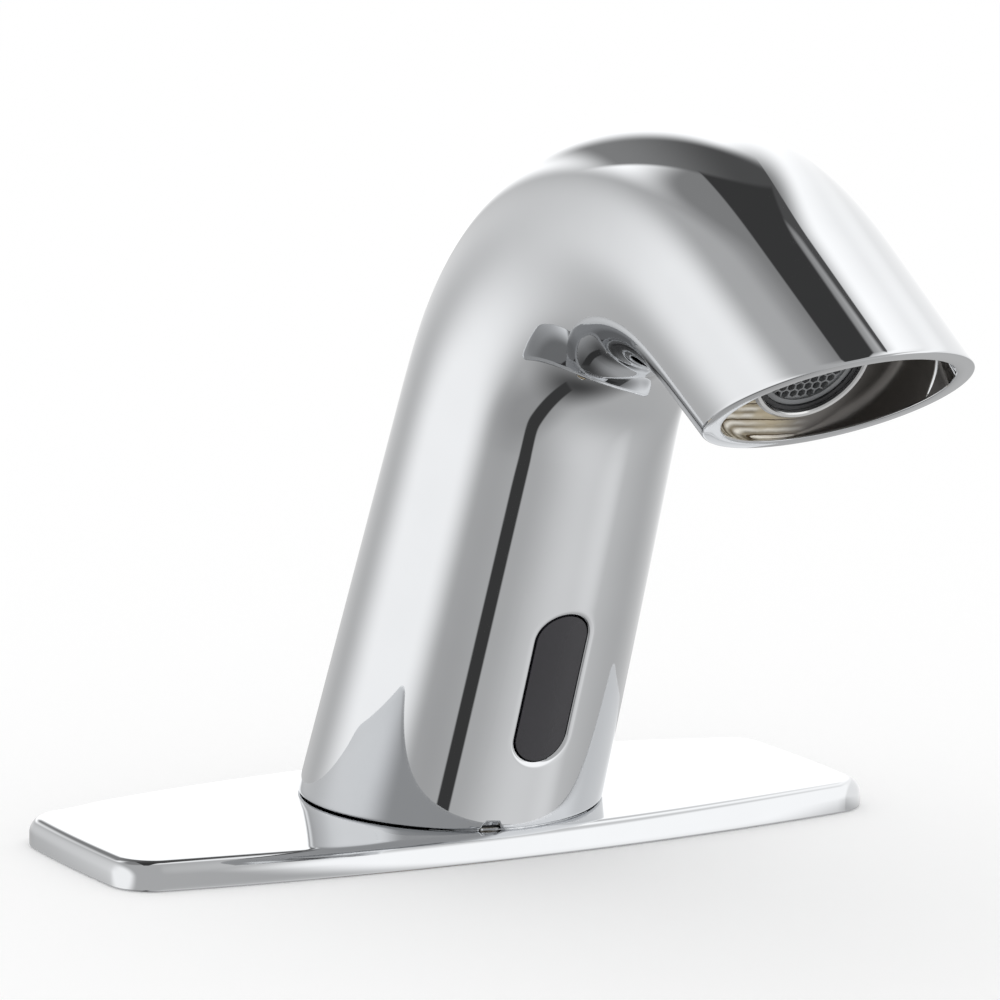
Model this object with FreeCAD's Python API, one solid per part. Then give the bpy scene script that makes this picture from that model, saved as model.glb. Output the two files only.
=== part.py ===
import FreeCAD, Part
import math
import os
from FreeCAD import Placement, Rotation, Vector

# Sensor tap, millimetres. +Z up, the spout points to -Y, the deck plate lies along X.
# The origin is the middle of the tap hole, on the deck.

# ---- deck plate ----
plate_length = 160.0
plate_width = 62.0
plate_side_bow = 7.2        # how far the long sides bulge
plate_end_bow = 0.8         # how far the short ends bulge
plate_corner_radius = 8.5
plate_height = 5.5
plate_edge_rounding = 3.0
plate_wall = 1.6
plate_hole_radius = 14.2
gasket_thickness = 0.6      # between body and plate
gasket_width = 5.28
foam_thickness = 1.2        # between plate and deck
foam_width = 5.0
liner_rib = 2.2
liner_pocket_count = 3      # pockets on each side of the hole

# ---- body: a leaning column, a bend and a nozzle of elliptical section ----
lean_angle = 22.5
bend_angle = 97.0
column_length = 90.0        # from the plate's top, along the leaning axis
bend_radius = 55.0
nozzle_length = 27.0
foot_radius = 29.0          # half the width of the section at the plate
column_top_radius = 26.0
mouth_radius = 23.2
section_depth_ratio = 0.92  # depth of a section over its width
body_wall = 3.2
foot_rounding = 1.6
mouth_tilt = 27.0           # of the mouth's plane, the front lip is higher
bend_section_count = 9
weep_width = 3.6
weep_height = 1.5
weep_angle = -13.0          # round the foot from the front, towards -X

# ---- base flange and shank ----
flange_radius = 22.0
flange_thickness = 6.0
flange_recess = 0.4         # the flange stays this far above the body's foot
shelf_station = 20.0        # top of the solid shelf, along the column
shelf_hole_radius = 12.0
flange_screw_circle = 17.5
flange_screw_angles = (75, 195, 315)
flange_screw_radius = 2.0
flange_screw_length = 13.5
shank_radius = 13.2
shank_bore_radius = 11.0
shank_tail = 60.0           # how far the shank reaches below the deck
deck_thickness = 20.0
clamp_washer_radius = 24.0
rubber_washer_thickness = 3.0
steel_washer_thickness = 1.5
lock_nut_width = 36.0
lock_nut_height = 10.0

# ---- water inlet ----
inlet_tube_radius = 5.0
inlet_tube_bore = 3.8
inlet_tube_y = 4.6
inlet_tube_bend = 25.0
union_top = -70.0
union_thread_radius = 8.3
union_thread_length = 12.0
union_hex_width = 19.0
union_hex_height = 6.0
union_neck_radius = 8.0
union_neck_length = 12.0
union_socket_depth = 6.0
union_bore_radius = 6.3
ring_groove_depth = 1.2
ring_groove_height = 1.3
check_height = 14.0
check_wall = 1.2
guide_thickness = 1.5
guide_spoke_width = 1.2
check_spring = (2.6, 0.3)      # mean radius and wire radius
check_spring_turn_count = 5
check_seat_radius = 3.2
poppet_radius = 4.2
poppet_thickness = 1.5
poppet_pad_thickness = 0.7
poppet_stem_radius = 1.0
strainer_height = 5.4
strainer_wall = 0.6
strainer_taper = 2.4
strainer_lip = 1.6
strainer_hole_count = 12
strainer_hole_radius = 0.8

# ---- solenoid valve, turned about its own axis inside the column ----
valve_y = 6.5
valve_leg_height = 6.0
valve_socket_depth = 5.0    # of the inlet tube's socket below the valve's base
valve_socket_wall = 2.5
valve_floor_thickness = 4.0
riser_socket_height = 10.0  # bottom of the riser's socket above the valve's base
valve_radius = 11.0
valve_flange = 22.6
valve_flange_thickness = 4.0
chamber_radius = 9.6
seat_radius = 5.0
seat_height = 4.0
piston_clearance = 0.08
piston_height = 5.0
piston_travel = 2.0
piston_pad_radius = 5.8
piston_pad_thickness = 1.2
piston_cup_radius = 6.4
piston_floor = 2.4
piston_groove = (2.2, 3.6)      # from and to, above the seat
piston_groove_depth = 1.5
piston_spring = (4.6, 0.4)
piston_spring_turn_count = 3
piston_spring_pocket = 1.2
outlet_x = 17.0
wall_relief = 0.3           # room for the outlet and the sensor where they come near the wall
outlet_radius = 5.6
outlet_top = 19.0           # above the valve's base
leg_radius = 3.5
left_leg = (-14.5, 6.5)     # on the shelf
right_leg = (13.0, -2.0)
valve_screw_radius = 1.5
valve_screw_bite = 8.0
bonnet_thickness = 3.5
pilot_recess = 0.4          # pilot nozzle below the bonnet's top
pilot_radius = 1.2
pilot_bore = 0.5
bonnet_screw_offset = 8.9
core_tube_radius = 4.6
core_tube_bore = 4.05
core_tube_length = 26.6
core_tube_flange_radius = 7.2
core_tube_flange_thickness = 1.1
core_tube_cap = 1.0
core_stud_radius = 2.5
core_stud_length = 5.0
armature_radius = 4.0
armature_length = 15.0
armature_travel = 1.5
armature_shoulder = 0.9      # armature's end above its seal's face
armature_spring = (2.1, 0.25)
armature_spring_turn_count = 6
armature_spring_bore = 2.7
armature_spring_depth = 8.0
armature_seal_radius = 2.2
armature_seal_length = 2.4
bobbin_flange_radius = 10.0
bobbin_flange_thickness = 1.2
winding_radius = 9.2
bobbin_core_wall = 1.2
yoke_width = 16.0
yoke_thickness = 1.5
yoke_gap = 2.8              # between bonnet and yoke
yoke_nut_width = 10.0
yoke_nut_height = 3.0
terminal_size = 6.0
terminal_reach = 1.5

# ---- water outlet ----
riser_radius = 4.0
riser_straight = 18.0       # its last run, into the adapter
riser_bore = 3.0
partition_back = -19.0      # stations on the nozzle's axis, 0 at the mouth's middle
partition_front = -13.0
mouth_fillet = 2.5          # where the partition meets the mouth's wall
boss_back = -28.0
boss_radius = 14.5
aerator_seat = -24.0
aerator_face = -9.5
aerator_radius = 11.5
aerator_ring_width = 1.3
aerator_recess = 1.0
insert_wall = 0.8
screen_thickness = 0.8
screen_lift = 1.5
screen_hole_count = 12
screen_hole_radius = 0.9
screen_hole_circle = 5.6
honeycomb_rim = 1.0
honeycomb_depth = 2.8
honeycomb_recess = 0.4      # of the mesh behind its rim
honeycomb_cell = 1.35       # across the flats
honeycomb_pitch = 1.65
adapter_tail_radius = 8.0
adapter_tail_length = 8.0
adapter_flange_thickness = 2.0
washer_thickness = 1.6

# ---- sensor ----
window_width = 10.6
window_length = 31.5
window_station = 40.7
window_recess = 0.35
window_gap = 0.15
pocket_depth_y = 22.0       # flat pocket behind the window, from the column's axis
window_flange_margin = 2.2
window_gasket_thickness = 0.5
window_flange_thickness = 1.5
module_half_width = 8.7
module_depth = 10.9
module_wall = 1.2
module_bottom = 21.9
module_top = 59.5
module_gap = 0.1
cover_thickness = 1.4
board_thickness = 1.5
board_setback = 6.5         # board's face behind the module's front
board_margin = 4.2
chip_width = 7.0
chip_height = 1.2
plug_width = 8.0
plug_height = 2.0
capacitor_radius = 2.4
emitter_offset = 9.5        # emitter above and receiver below the window's middle
diode_radius = 2.5
diode_collar_radius = 2.9
baffle_thickness = 0.8
baffle_offset = 4.5
cover_boss_radius = 1.8
cover_screw_radius = 1.0
cover_screw_length = 4.6
clamp_width = 10.0
clamp_thickness = 1.6
clamp_height = 30.0
clamp_foot = 10.5
clamp_screw_radius = 1.5
clamp_screw_length = 6.5

# ---- leads ----
lead_radius = 1.1
lead_clearance = 8.0        # straight run of the supply lead above the flange
lead_bend_limit = 12.0
lead_x = 6.3
lead_y = -6.05
solenoid_lead_x = -5.0
socket_radius = 3.4
socket_length = 14.0
socket_wall = 0.9
socket_pin_radius = 0.4
socket_pin_offset = 1.1
socket_depth = 6.0
socket_y = -6.8
grommet_depth = 6.0
grommet_lip = 2.0

# ---- coil springs ----
spring_steps = 18           # straight lengths in a turn
spring_sides = 6

# ---- fits ----
slip = 0.05                 # a piece in its bore, all round
seat_gap = 0.3              # beside pieces that only lie close

os.makedirs("parts", exist_ok=True)
nodes = {}

lean = math.radians(lean_angle)
tilt = math.radians(mouth_tilt)
x_axis = Vector(1, 0, 0)
z_axis = Vector(0, 0, 1)
foot_z = plate_height + gasket_thickness


# ---------- small tools ----------

def keep(name, shape):
    """Write a finished piece to its own file."""
    solids = shape.Solids
    shape = solids[0] if len(solids) == 1 else Part.makeCompound(solids)
    nodes[name] = shape
    shape.exportStep("parts/" + name + ".step")
    print(name, len(solids), "solids", round(shape.Volume, 1), shape.isValid())


def cylinder(radius, low, high, x=0.0, y=0.0):
    return Part.makeCylinder(radius, high - low, Vector(x, y, low))


def ring(outer, inner, low, high, x=0.0, y=0.0):
    return cylinder(outer, low, high, x, y).cut(cylinder(inner, low, high, x, y))


def turned(profile, x=0.0, y=0.0):
    """Revolve an outline of (radius, height) points about a vertical line through x, y."""
    points = [Vector(r, 0, h) for r, h in profile]
    face = Part.Face(Part.makePolygon(points + points[:1]))
    solid = face.revolve(Vector(0, 0, 0), z_axis, 360)
    solid.translate(Vector(x, y, 0))
    return solid


def block(x_range, y_range, z_range):
    size = [high - low for low, high in (x_range, y_range, z_range)]
    return Part.makeBox(*size, Vector(x_range[0], y_range[0], z_range[0]))


def hexagon(width, low, high, x=0.0, y=0.0):
    """A hexagonal prism, width across its flats."""
    corner = width / math.sqrt(3)
    points = [Vector(x + corner * math.cos(k * math.pi / 3), y + corner * math.sin(k * math.pi / 3), low)
              for k in range(6)]
    return Part.Face(Part.makePolygon(points + points[:1])).extrude(Vector(0, 0, high - low))


def stadium(width, length, station, y_low, y_high):
    """A round-ended slot shape in the column's front, width along X, length along the column."""
    radius = width / 2
    reach = length / 2 - radius
    depth = y_high - y_low
    middle = block((-radius, radius), (y_low, y_high), (station - reach, station + reach))
    ends = [Part.makeCylinder(radius, depth, Vector(0, y_low, station + side * reach), Vector(0, 1, 0))
            for side in (-1, 1)]
    return middle.fuse(ends).removeSplitter()


def rod(points, radii, radius):
    """A round bar of straight runs joined by tangent arcs, one radius for each inner point."""
    pieces = []
    start = points[0]
    for before, corner, after, bend in zip(points, points[1:], points[2:], radii):
        back = (before - corner).normalize()
        ahead = (after - corner).normalize()
        turn = math.pi - back.getAngle(ahead)
        trim = bend * math.tan(turn / 2)
        arc_start = corner + back * trim
        centre = corner + (back + ahead).normalize() * (bend / math.cos(turn / 2))
        disc = Part.Face(Part.Wire([Part.makeCircle(radius, arc_start, back)]))
        axis = (back * -1).cross(ahead)
        pieces.append(straight_rod(start, arc_start, radius))
        pieces.append(disc.revolve(centre, axis, math.degrees(turn)))
        start = corner + ahead * trim
    pieces.append(straight_rod(start, points[-1], radius))
    return pieces[0].fuse(pieces[1:]) if len(pieces) > 1 else pieces[0]


def straight_rod(start, end, radius):
    return Part.makeCylinder(radius, (end - start).Length, start, end - start)


def run_radii(points):
    """The largest even arcs that a route leaves room for."""
    radii = []
    for before, corner, after in zip(points, points[1:], points[2:]):
        turn = math.pi - (before - corner).getAngle(after - corner)
        shorter = min((before - corner).Length, (after - corner).Length)
        radii.append(0.45 * shorter / math.tan(turn / 2))
    return radii


def spring(sizes, turns, low, high, x=0.0, y=0.0):
    """A helical spring of short straight lengths of wire, filling the height from low to high."""
    mean_radius, wire_radius = sizes
    height = high - low - 2 * wire_radius
    count = turns * spring_steps
    rings = []
    for k in range(count + 1):
        angle = 2 * math.pi * k / spring_steps
        outward = Vector(math.cos(angle), math.sin(angle), 0)
        middle = Vector(x, y, low + wire_radius + height * k / count) + outward * mean_radius
        corners = [2 * math.pi * j / spring_sides for j in range(spring_sides)]
        rings.append([middle + outward * (wire_radius * math.cos(c)) + Vector(0, 0, wire_radius * math.sin(c))
                      for c in corners])
    faces = [Part.Face(Part.makePolygon(end + end[:1])) for end in (rings[0], rings[-1])]
    for here, there in zip(rings, rings[1:]):
        for j in range(spring_sides):
            k = (j + 1) % spring_sides
            for corners in ((here[j], here[k], there[k]), (here[j], there[k], there[j])):
                faces.append(Part.Face(Part.makePolygon(list(corners) + [corners[0]])))
    solid = Part.Solid(Part.Shell(faces))
    if solid.Volume < 0:
        solid.reverse()
    return solid


# ---------- the three frames ----------

column_frame = Placement(Vector(0, 0, plate_height), Rotation(x_axis, lean_angle))


def in_column(thing):
    """Move a shape or a point from the column's frame (Z along its axis) to the tap's."""
    if isinstance(thing, Vector):
        return column_frame.multVec(thing)
    moved = thing.copy()
    moved.Placement = column_frame.multiply(moved.Placement)
    return moved


def path_frame(station):
    """Frame of the body's section at a length along its middle line."""
    bend_length = bend_radius * math.radians(bend_angle)
    if station <= column_length:
        return column_frame.multiply(Placement(Vector(0, 0, station), Rotation()))
    turn = min(station - column_length, bend_length) / bend_radius
    centre = Vector(0, -bend_radius, column_length)
    local = Placement(centre, Rotation(x_axis, math.degrees(turn)))
    frame = column_frame.multiply(local).multiply(Placement(Vector(0, bend_radius, 0), Rotation()))
    rest = max(0.0, station - column_length - bend_length)
    return frame.multiply(Placement(Vector(0, 0, rest), Rotation()))


bend_end = column_length + bend_radius * math.radians(bend_angle)
mouth_station = bend_end + nozzle_length
nozzle_frame = path_frame(mouth_station)


def in_nozzle(thing):
    """Move a shape or a point from the nozzle's frame (Z out of the mouth) to the tap's."""
    if isinstance(thing, Vector):
        return nozzle_frame.multVec(thing)
    moved = thing.copy()
    moved.Placement = nozzle_frame.multiply(moved.Placement)
    return moved


def section_radius(station):
    if station <= column_length:
        return foot_radius + (column_top_radius - foot_radius) * station / column_length
    share = (station - column_length) / (mouth_station - column_length)
    return column_top_radius + (mouth_radius - column_top_radius) * share


def section(station, offset):
    """The body's elliptical outline at a station, drawn in by an offset."""
    half_width = section_radius(station) - offset
    half_depth = section_radius(station) * section_depth_ratio - offset
    ellipse = Part.Ellipse(Vector(half_width, 0, 0), Vector(0, half_depth, 0), Vector(0, 0, 0))
    wire = Part.Wire([ellipse.toShape()])
    wire.Placement = path_frame(station)
    return wire


def body_solid(first, last, offset):
    """The body's form between two stations, drawn in by an offset."""
    pieces = []
    if first < column_length:
        pieces.append(Part.makeLoft([section(first, offset), section(min(last, column_length), offset)], True,
                                    True))
    if last > column_length and first < bend_end:
        step = (bend_end - column_length) / (bend_section_count - 1)
        sections = [section(column_length + k * step, offset) for k in range(bend_section_count)]
        pieces.append(Part.makeLoft(sections, True, False))
    if last > bend_end:
        start = max(first, bend_end)
        pieces.append(Part.makeLoft([section(start, offset), section(last, offset)], True, True))
    return pieces[0].fuse(pieces[1:]) if len(pieces) > 1 else pieces[0]


# ---------- deck plate ----------

def boat_outline(inset):
    """The plate's outline: two bowed sides, two bowed ends, four round corners."""
    half_length = plate_length / 2
    half_width = plate_width / 2
    side_half = half_width - plate_side_bow
    side_radius = (half_length ** 2 + plate_side_bow ** 2) / (2 * plate_side_bow)
    end_radius = (side_half ** 2 + plate_end_bow ** 2) / (2 * plate_end_bow)
    side_centre = half_width - side_radius
    end_centre = half_length - end_radius
    # the corner's circle touches both bows from inside
    a = side_radius - plate_corner_radius
    b = end_radius - plate_corner_radius
    gap = math.hypot(end_centre, side_centre)
    along = (a * a - b * b + gap * gap) / (2 * gap)
    across = math.sqrt(a * a - along * along)
    ux, uy = end_centre / gap, -side_centre / gap
    options = [(along * ux - sign * across * uy, side_centre + along * uy + sign * across * ux)
               for sign in (-1, 1)]
    corner_x, corner_y = max(options, key=sum)
    side_angle = math.atan2(corner_y - side_centre, corner_x)
    end_angle = math.atan2(corner_y, corner_x - end_centre)
    middle_angle = (side_angle + end_angle) / 2

    def at(cx, cy, radius, angle):
        return (cx + (radius - inset) * math.cos(angle), cy + (radius - inset) * math.sin(angle))

    top = (0.0, half_width - inset)
    tip = (half_length - inset, 0.0)
    join_side = at(0, side_centre, side_radius, side_angle)
    join_end = at(end_centre, 0, end_radius, end_angle)
    corner = at(corner_x, corner_y, plate_corner_radius, middle_angle)

    def arc(p, q, r, sx, sy):
        return Part.Arc(*[Vector(sx * c[0], sy * c[1], 0) for c in (p, q, r)]).toShape()

    left_join = (-join_side[0], join_side[1])
    lower_join = (join_end[0], -join_end[1])
    edges = []
    for sign in (1, -1):
        edges.append(arc(left_join, top, join_side, sign, sign))
        edges.append(arc(join_side, corner, join_end, sign, sign))
        edges.append(arc(join_end, tip, lower_join, sign, sign))
        edges.append(arc(lower_join, (corner[0], -corner[1]), (join_side[0], -join_side[1]), sign, sign))
    return Part.Wire(Part.__sortEdges__(edges))


def boat(inset, low, high):
    solid = Part.Face(boat_outline(inset)).extrude(Vector(0, 0, high - low))
    solid.translate(Vector(0, 0, low))
    return solid


def make_plate():
    outer = boat(0, 0, plate_height)
    top_edges = [e for e in outer.Edges if e.BoundBox.ZMin > plate_height - 0.01]
    outer = outer.makeFillet(plate_edge_rounding, top_edges)
    inner = boat(plate_wall, -1, plate_height - plate_wall)
    hole = cylinder(plate_hole_radius, -1, plate_height + 1)
    return outer.cut(inner).cut(hole)


def make_liner():
    """Plastic tray under the plate: a rim, cross ribs and a ring round the hole."""
    low, high = foam_thickness, plate_height - plate_wall
    tray = boat(plate_wall + plate_edge_rounding / 2, low, high)
    rim = plate_wall + plate_edge_rounding / 2 + liner_rib
    pockets = boat(rim, low, high - liner_rib / 2)
    start = plate_hole_radius + liner_rib
    step = (plate_length / 2 - rim - start) / liner_pocket_count
    ribs = [block((-liner_rib / 2, liner_rib / 2), (-plate_width, plate_width), (low, high))]
    for side in (-1, 1):
        for k in range(1, liner_pocket_count):
            x = side * (start + k * step)
            ribs.append(block((x - liner_rib / 2, x + liner_rib / 2), (-plate_width, plate_width),
                              (low, high)))
    collar = cylinder(start, low, high)
    pockets = pockets.cut(collar.fuse(ribs))
    return tray.cut(pockets).cut(cylinder(plate_hole_radius, low - 1, high + 1))


def make_deck_gasket():
    outer = plate_wall + seat_gap
    return boat(outer, 0, foam_thickness).cut(boat(outer + foam_width, -1, foam_thickness + 1))


keep("deck_plate", make_plate())
keep("plate_liner", make_liner())
keep("deck_gasket", make_deck_gasket())
gasket_radius = foot_radius * section_depth_ratio / math.cos(lean) - foot_rounding
keep("base_gasket", ring(gasket_radius, gasket_radius - gasket_width, plate_height, foot_z))


# ---------- body shell ----------

def slab_under(plane, size):
    """A square block under a frame's XY plane."""
    slab = Part.makeBox(2 * size, 2 * size, size, Vector(-size, -size, -size))
    slab.Placement = plane
    return slab


mouth_plane = Placement(nozzle_frame.Base, Rotation(x_axis, math.degrees(tilt) * -1))
flange_top = foot_z + flange_recess + flange_thickness


def lead_route():
    """The supply lead: up the shank, past the valve and over into the sensor's top."""
    rise = shelf_station - lead_radius
    bottom = Vector(0, socket_y, socket_top)
    through = Vector(0, socket_y, flange_top + lead_clearance)
    top = module_top + lead_radius * 4
    inner_y = module_front + board_setback + board_thickness / 2
    points = [bottom, through]
    points.append(in_column(Vector(lead_x, lead_y, rise + valve_leg_height)))
    points.append(in_column(Vector(lead_x, lead_y, top)))
    points.append(in_column(Vector(lead_x, inner_y, top)))
    points.append(in_column(Vector(lead_x, inner_y, module_top)))
    return points


socket_top = -shank_tail + grommet_depth - 1.0
module_front = -pocket_depth_y + window_gasket_thickness + window_flange_thickness + module_gap


def on_nozzle(point):
    """How far along the nozzle's axis a point is, from the mouth's middle."""
    return nozzle_frame.inverse().multVec(point).z


def make_body():
    overshoot = 0.8 * mouth_radius
    outer = body_solid(-foot_radius / 2, mouth_station + overshoot, 0)
    outer = outer.cut(slab_under(Placement(Vector(0, 0, foot_z), Rotation()), 2 * foot_radius))
    outer = outer.cut(slab_under(mouth_plane, 2 * mouth_radius))
    foot_edges = [e for e in outer.Edges if e.BoundBox.ZMax < foot_z + 0.01]
    outer = outer.makeFillet(foot_rounding, foot_edges)

    # the dry hollow behind the partition, and the open mouth in front of it
    hollow = body_solid(shelf_station, mouth_station + partition_back, body_wall)
    mouth = body_solid(mouth_station + partition_front, mouth_station + overshoot, body_wall)
    floor_edges = [e for e in mouth.Edges
                   if all(abs(on_nozzle(v.Point) - partition_front) < 0.01 for v in e.Vertexes)]
    mouth = mouth.makeFillet(mouth_fillet, floor_edges)
    boss = in_nozzle(cylinder(boss_radius, boss_back, partition_back))
    aerator_bore = in_nozzle(cylinder(aerator_radius + slip, aerator_seat, partition_front))
    tail_bore = in_nozzle(cylinder(adapter_tail_radius + slip, boss_back, aerator_seat))
    body = outer.cut(hollow).cut(mouth).fuse(boss).cut(aerator_bore).cut(tail_bore)

    # the foot: counterbore for the flange, hole through the shelf, tapped holes, weep notch
    body = body.cut(cylinder(flange_radius, foot_z - 1, flange_top))
    body = body.cut(cylinder(shelf_hole_radius, foot_z, foot_z + 2 * shelf_station)
                    .common(in_column(cylinder(2 * foot_radius, -foot_radius, shelf_station + 1))))
    for x, y in flange_screw_places():
        body = body.cut(cylinder(flange_screw_radius, flange_top,
                                 foot_z + flange_recess + flange_screw_length, x, y))
    for x, y in (left_leg, right_leg):
        body = body.cut(in_column(cylinder(valve_screw_radius, shelf_station - valve_screw_bite,
                                           shelf_station, x, y)))
    body = body.cut(in_column(cylinder(clamp_screw_radius, shelf_station - clamp_screw_length, shelf_station,
                                       0, clamp_screw_y)))
    notch = block((-weep_width / 2, weep_width / 2), (-foot_radius - 1, 1 - flange_radius),
                  (foot_z - 1, foot_z + weep_height))
    notch.rotate(Vector(0, 0, 0), z_axis, weep_angle)
    body = body.cut(notch)

    # the window's opening and the flat pocket behind it
    opening = stadium(window_width, window_length, window_station, -foot_radius, -pocket_depth_y + 1)
    pocket = stadium(window_width + 2 * window_flange_margin + 2 * seat_gap,
                     window_length + 2 * window_flange_margin + 2 * seat_gap,
                     window_station, -pocket_depth_y, module_front)
    body = body.cut(in_column(opening)).cut(in_column(pocket))

    # room in the wall for the sensor's corners and the valve's outlet, if the section is drawn smaller
    sensor_side = module_half_width + wall_relief
    sensor_seat = block((-sensor_side, sensor_side), (module_front - module_gap, module_front + module_depth),
                        (shelf_station, module_top + wall_relief))
    outlet_seat = cylinder(outlet_radius + wall_relief, shelf_station, column_length, outlet_x, valve_y)
    return body.cut(in_column(sensor_seat)).cut(in_column(outlet_seat))


def flange_screw_places():
    return [(flange_screw_circle * math.cos(math.radians(a)), flange_screw_circle * math.sin(math.radians(a)))
            for a in flange_screw_angles]


clamp_screw_y = module_front + module_depth - clamp_foot / 2
body_shell = make_body()
keep("body_shell", body_shell)


# ---------- base flange, shank and clamping parts ----------

def countersunk(radius, length, top, x=0.0, y=0.0):
    """A countersunk screw, head up, with its tip below."""
    head = 2 * radius
    profile = [(0, top - length), (radius, top - length), (radius, top - radius), (head, top), (0, top)]
    return turned(profile, x, y)


def countersunk_up(radius, length, bottom, x, y):
    head = 2 * radius
    profile = [(0, bottom), (head, bottom), (radius, bottom + radius), (radius, bottom + length),
               (0, bottom + length)]
    return turned(profile, x, y)


flange_bottom = foot_z + flange_recess
flange_screws = [countersunk_up(flange_screw_radius, flange_screw_length, flange_bottom, x, y)
                 for x, y in flange_screw_places()]
flange = ring(flange_radius - slip, shank_radius + slip / 2, flange_bottom, flange_top)
for screw in flange_screws:
    flange = flange.cut(screw)
keep("base_flange", flange)
keep("flange_screws", Part.makeCompound(flange_screws))

washer_top = -deck_thickness
nut_top = washer_top - rubber_washer_thickness - steel_washer_thickness
keep("mounting_shank", ring(shank_radius, shank_bore_radius, -shank_tail, flange_top))
keep("clamp_washer_rubber", ring(clamp_washer_radius, shank_radius + slip,
                                 washer_top - rubber_washer_thickness, washer_top))
keep("clamp_washer_steel", ring(clamp_washer_radius, shank_radius + slip, nut_top,
                                washer_top - rubber_washer_thickness))
keep("lock_nut", hexagon(lock_nut_width, nut_top - lock_nut_height, nut_top)
     .cut(cylinder(shank_radius + slip, nut_top - lock_nut_height - 1, nut_top + 1)))

grommet_low = -shank_tail - grommet_lip
grommet = turned([(0, grommet_low), (shank_radius, grommet_low), (shank_radius, -shank_tail),
                  (shank_bore_radius - slip, -shank_tail),
                  (shank_bore_radius - slip, -shank_tail + grommet_depth),
                  (0, -shank_tail + grommet_depth)])
grommet = grommet.cut(cylinder(inlet_tube_radius + slip, grommet_low - 1, 0, 0, inlet_tube_y))
grommet = grommet.cut(cylinder(socket_radius + slip, grommet_low - 1, 0, 0, socket_y))
keep("shank_grommet", grommet)


# ---------- water inlet ----------

union_shoulder = union_top - union_neck_length
union_thread_top = union_shoulder - union_hex_height
union_bottom = union_thread_top - union_thread_length
check_top = union_top - union_socket_depth - 2.0
check_bottom = check_top - check_height
tube_end = union_top - union_socket_depth


def union_piece():
    y = inlet_tube_y
    body = cylinder(union_neck_radius, union_shoulder, union_top, 0, y)
    body = body.fuse([hexagon(union_hex_width, union_thread_top, union_shoulder, 0, y),
                      cylinder(union_thread_radius, union_bottom, union_thread_top, 0, y)])
    body = body.cut(cylinder(inlet_tube_radius + slip, tube_end, union_top, 0, y))
    body = body.cut(cylinder(inlet_tube_bore, check_top - 1, tube_end + 1, 0, y))
    body = body.cut(cylinder(union_bore_radius, union_bottom, check_top, 0, y))
    return body.cut(cylinder(inlet_tube_radius + slip + ring_groove_depth,
                             union_ring_low, union_ring_low + ring_groove_height, 0, y))


union_ring_low = union_top - union_socket_depth / 2 - ring_groove_height / 2
keep("inlet_union", union_piece())


def seal_ring(bore_radius, low, x=0.0, y=0.0):
    """A rubber ring of rounded section in its groove round a bore."""
    inner, outer = bore_radius - slip / 2, bore_radius + ring_groove_depth - slip
    high = low + ring_groove_height - slip
    low = low + slip
    corner = (outer - inner) / 4
    return turned([(inner, low + corner), (inner + corner, low), (outer - corner, low), (outer, low + corner),
                   (outer, high - corner), (outer - corner, high), (inner + corner, high),
                   (inner, high - corner)],
                  x, y)


valve_base = shelf_station + valve_leg_height
socket_floor = valve_base + 1.0
socket_mouth = valve_base - valve_socket_depth
corner_station = (valve_y * math.cos(lean) - inlet_tube_y) / math.sin(lean)
inlet_corner = in_column(Vector(0, valve_y, corner_station))
inlet_points = [Vector(0, inlet_tube_y, tube_end), inlet_corner, in_column(Vector(0, valve_y, socket_floor))]
keep("inlet_tube", rod(inlet_points, [inlet_tube_bend], inlet_tube_radius)
     .cut(rod(inlet_points, [inlet_tube_bend], inlet_tube_bore)))

seat_level = check_bottom + 3.0
cage_radius = union_bore_radius - slip
cage = ring(cage_radius, cage_radius - check_wall, check_bottom, check_top, 0, inlet_tube_y)
cage = cage.fuse(ring(cage_radius, check_seat_radius, check_bottom, seat_level, 0, inlet_tube_y))
guide = ring(2 * poppet_stem_radius, poppet_stem_radius + slip, check_top - guide_thickness, check_top, 0,
             inlet_tube_y)
for k in range(3):
    spoke = block((1.5 * poppet_stem_radius, cage_radius - check_wall / 2),
                  (-guide_spoke_width / 2, guide_spoke_width / 2),
                  (check_top - guide_thickness, check_top))
    spoke.rotate(Vector(0, 0, 0), z_axis, 120 * k)
    spoke.translate(Vector(0, inlet_tube_y, 0))
    guide = guide.fuse(spoke)
keep("check_valve_housing", cage.fuse(guide))

pad_top = seat_level + poppet_pad_thickness
poppet_top = pad_top + poppet_thickness
keep("poppet_seal", ring(poppet_radius, check_seat_radius - 1.0, seat_level, pad_top, 0, inlet_tube_y))
keep("check_valve_poppet", turned(
    [(0, seat_level), (check_seat_radius - 1.0 - slip, seat_level), (check_seat_radius - 1.0 - slip, pad_top),
     (poppet_radius, pad_top), (poppet_radius, poppet_top), (poppet_stem_radius, poppet_top),
     (poppet_stem_radius, check_top + seat_gap), (0, check_top + seat_gap)], 0, inlet_tube_y))
keep("check_valve_spring", spring(check_spring, check_spring_turn_count, poppet_top,
                                  check_top - guide_thickness, 0, inlet_tube_y))

strainer_top = check_bottom - slip
strainer_low = strainer_top - strainer_height
drill_length = 4.0
strainer = turned([(cage_radius - strainer_taper, strainer_low), (cage_radius, strainer_low),
                   (cage_radius, strainer_low + strainer_wall),
                   (cage_radius - strainer_lip, strainer_low + strainer_wall),
                   (cage_radius - strainer_taper, strainer_top),
                   (0, strainer_top), (0, strainer_top - strainer_wall),
                   (cage_radius - strainer_taper - strainer_wall, strainer_top - strainer_wall)], 0,
                   inlet_tube_y)
for k in range(strainer_hole_count):
    angle = 2 * math.pi * k / strainer_hole_count
    direction = Vector(math.cos(angle), math.sin(angle), 0)
    start = Vector(0, inlet_tube_y,
                   strainer_low + 0.5 * strainer_height) + direction * (cage_radius - drill_length)
    strainer = strainer.cut(Part.makeCylinder(strainer_hole_radius, drill_length, start, direction))
keep("inlet_strainer", strainer)


# ---------- solenoid valve ----------

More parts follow.
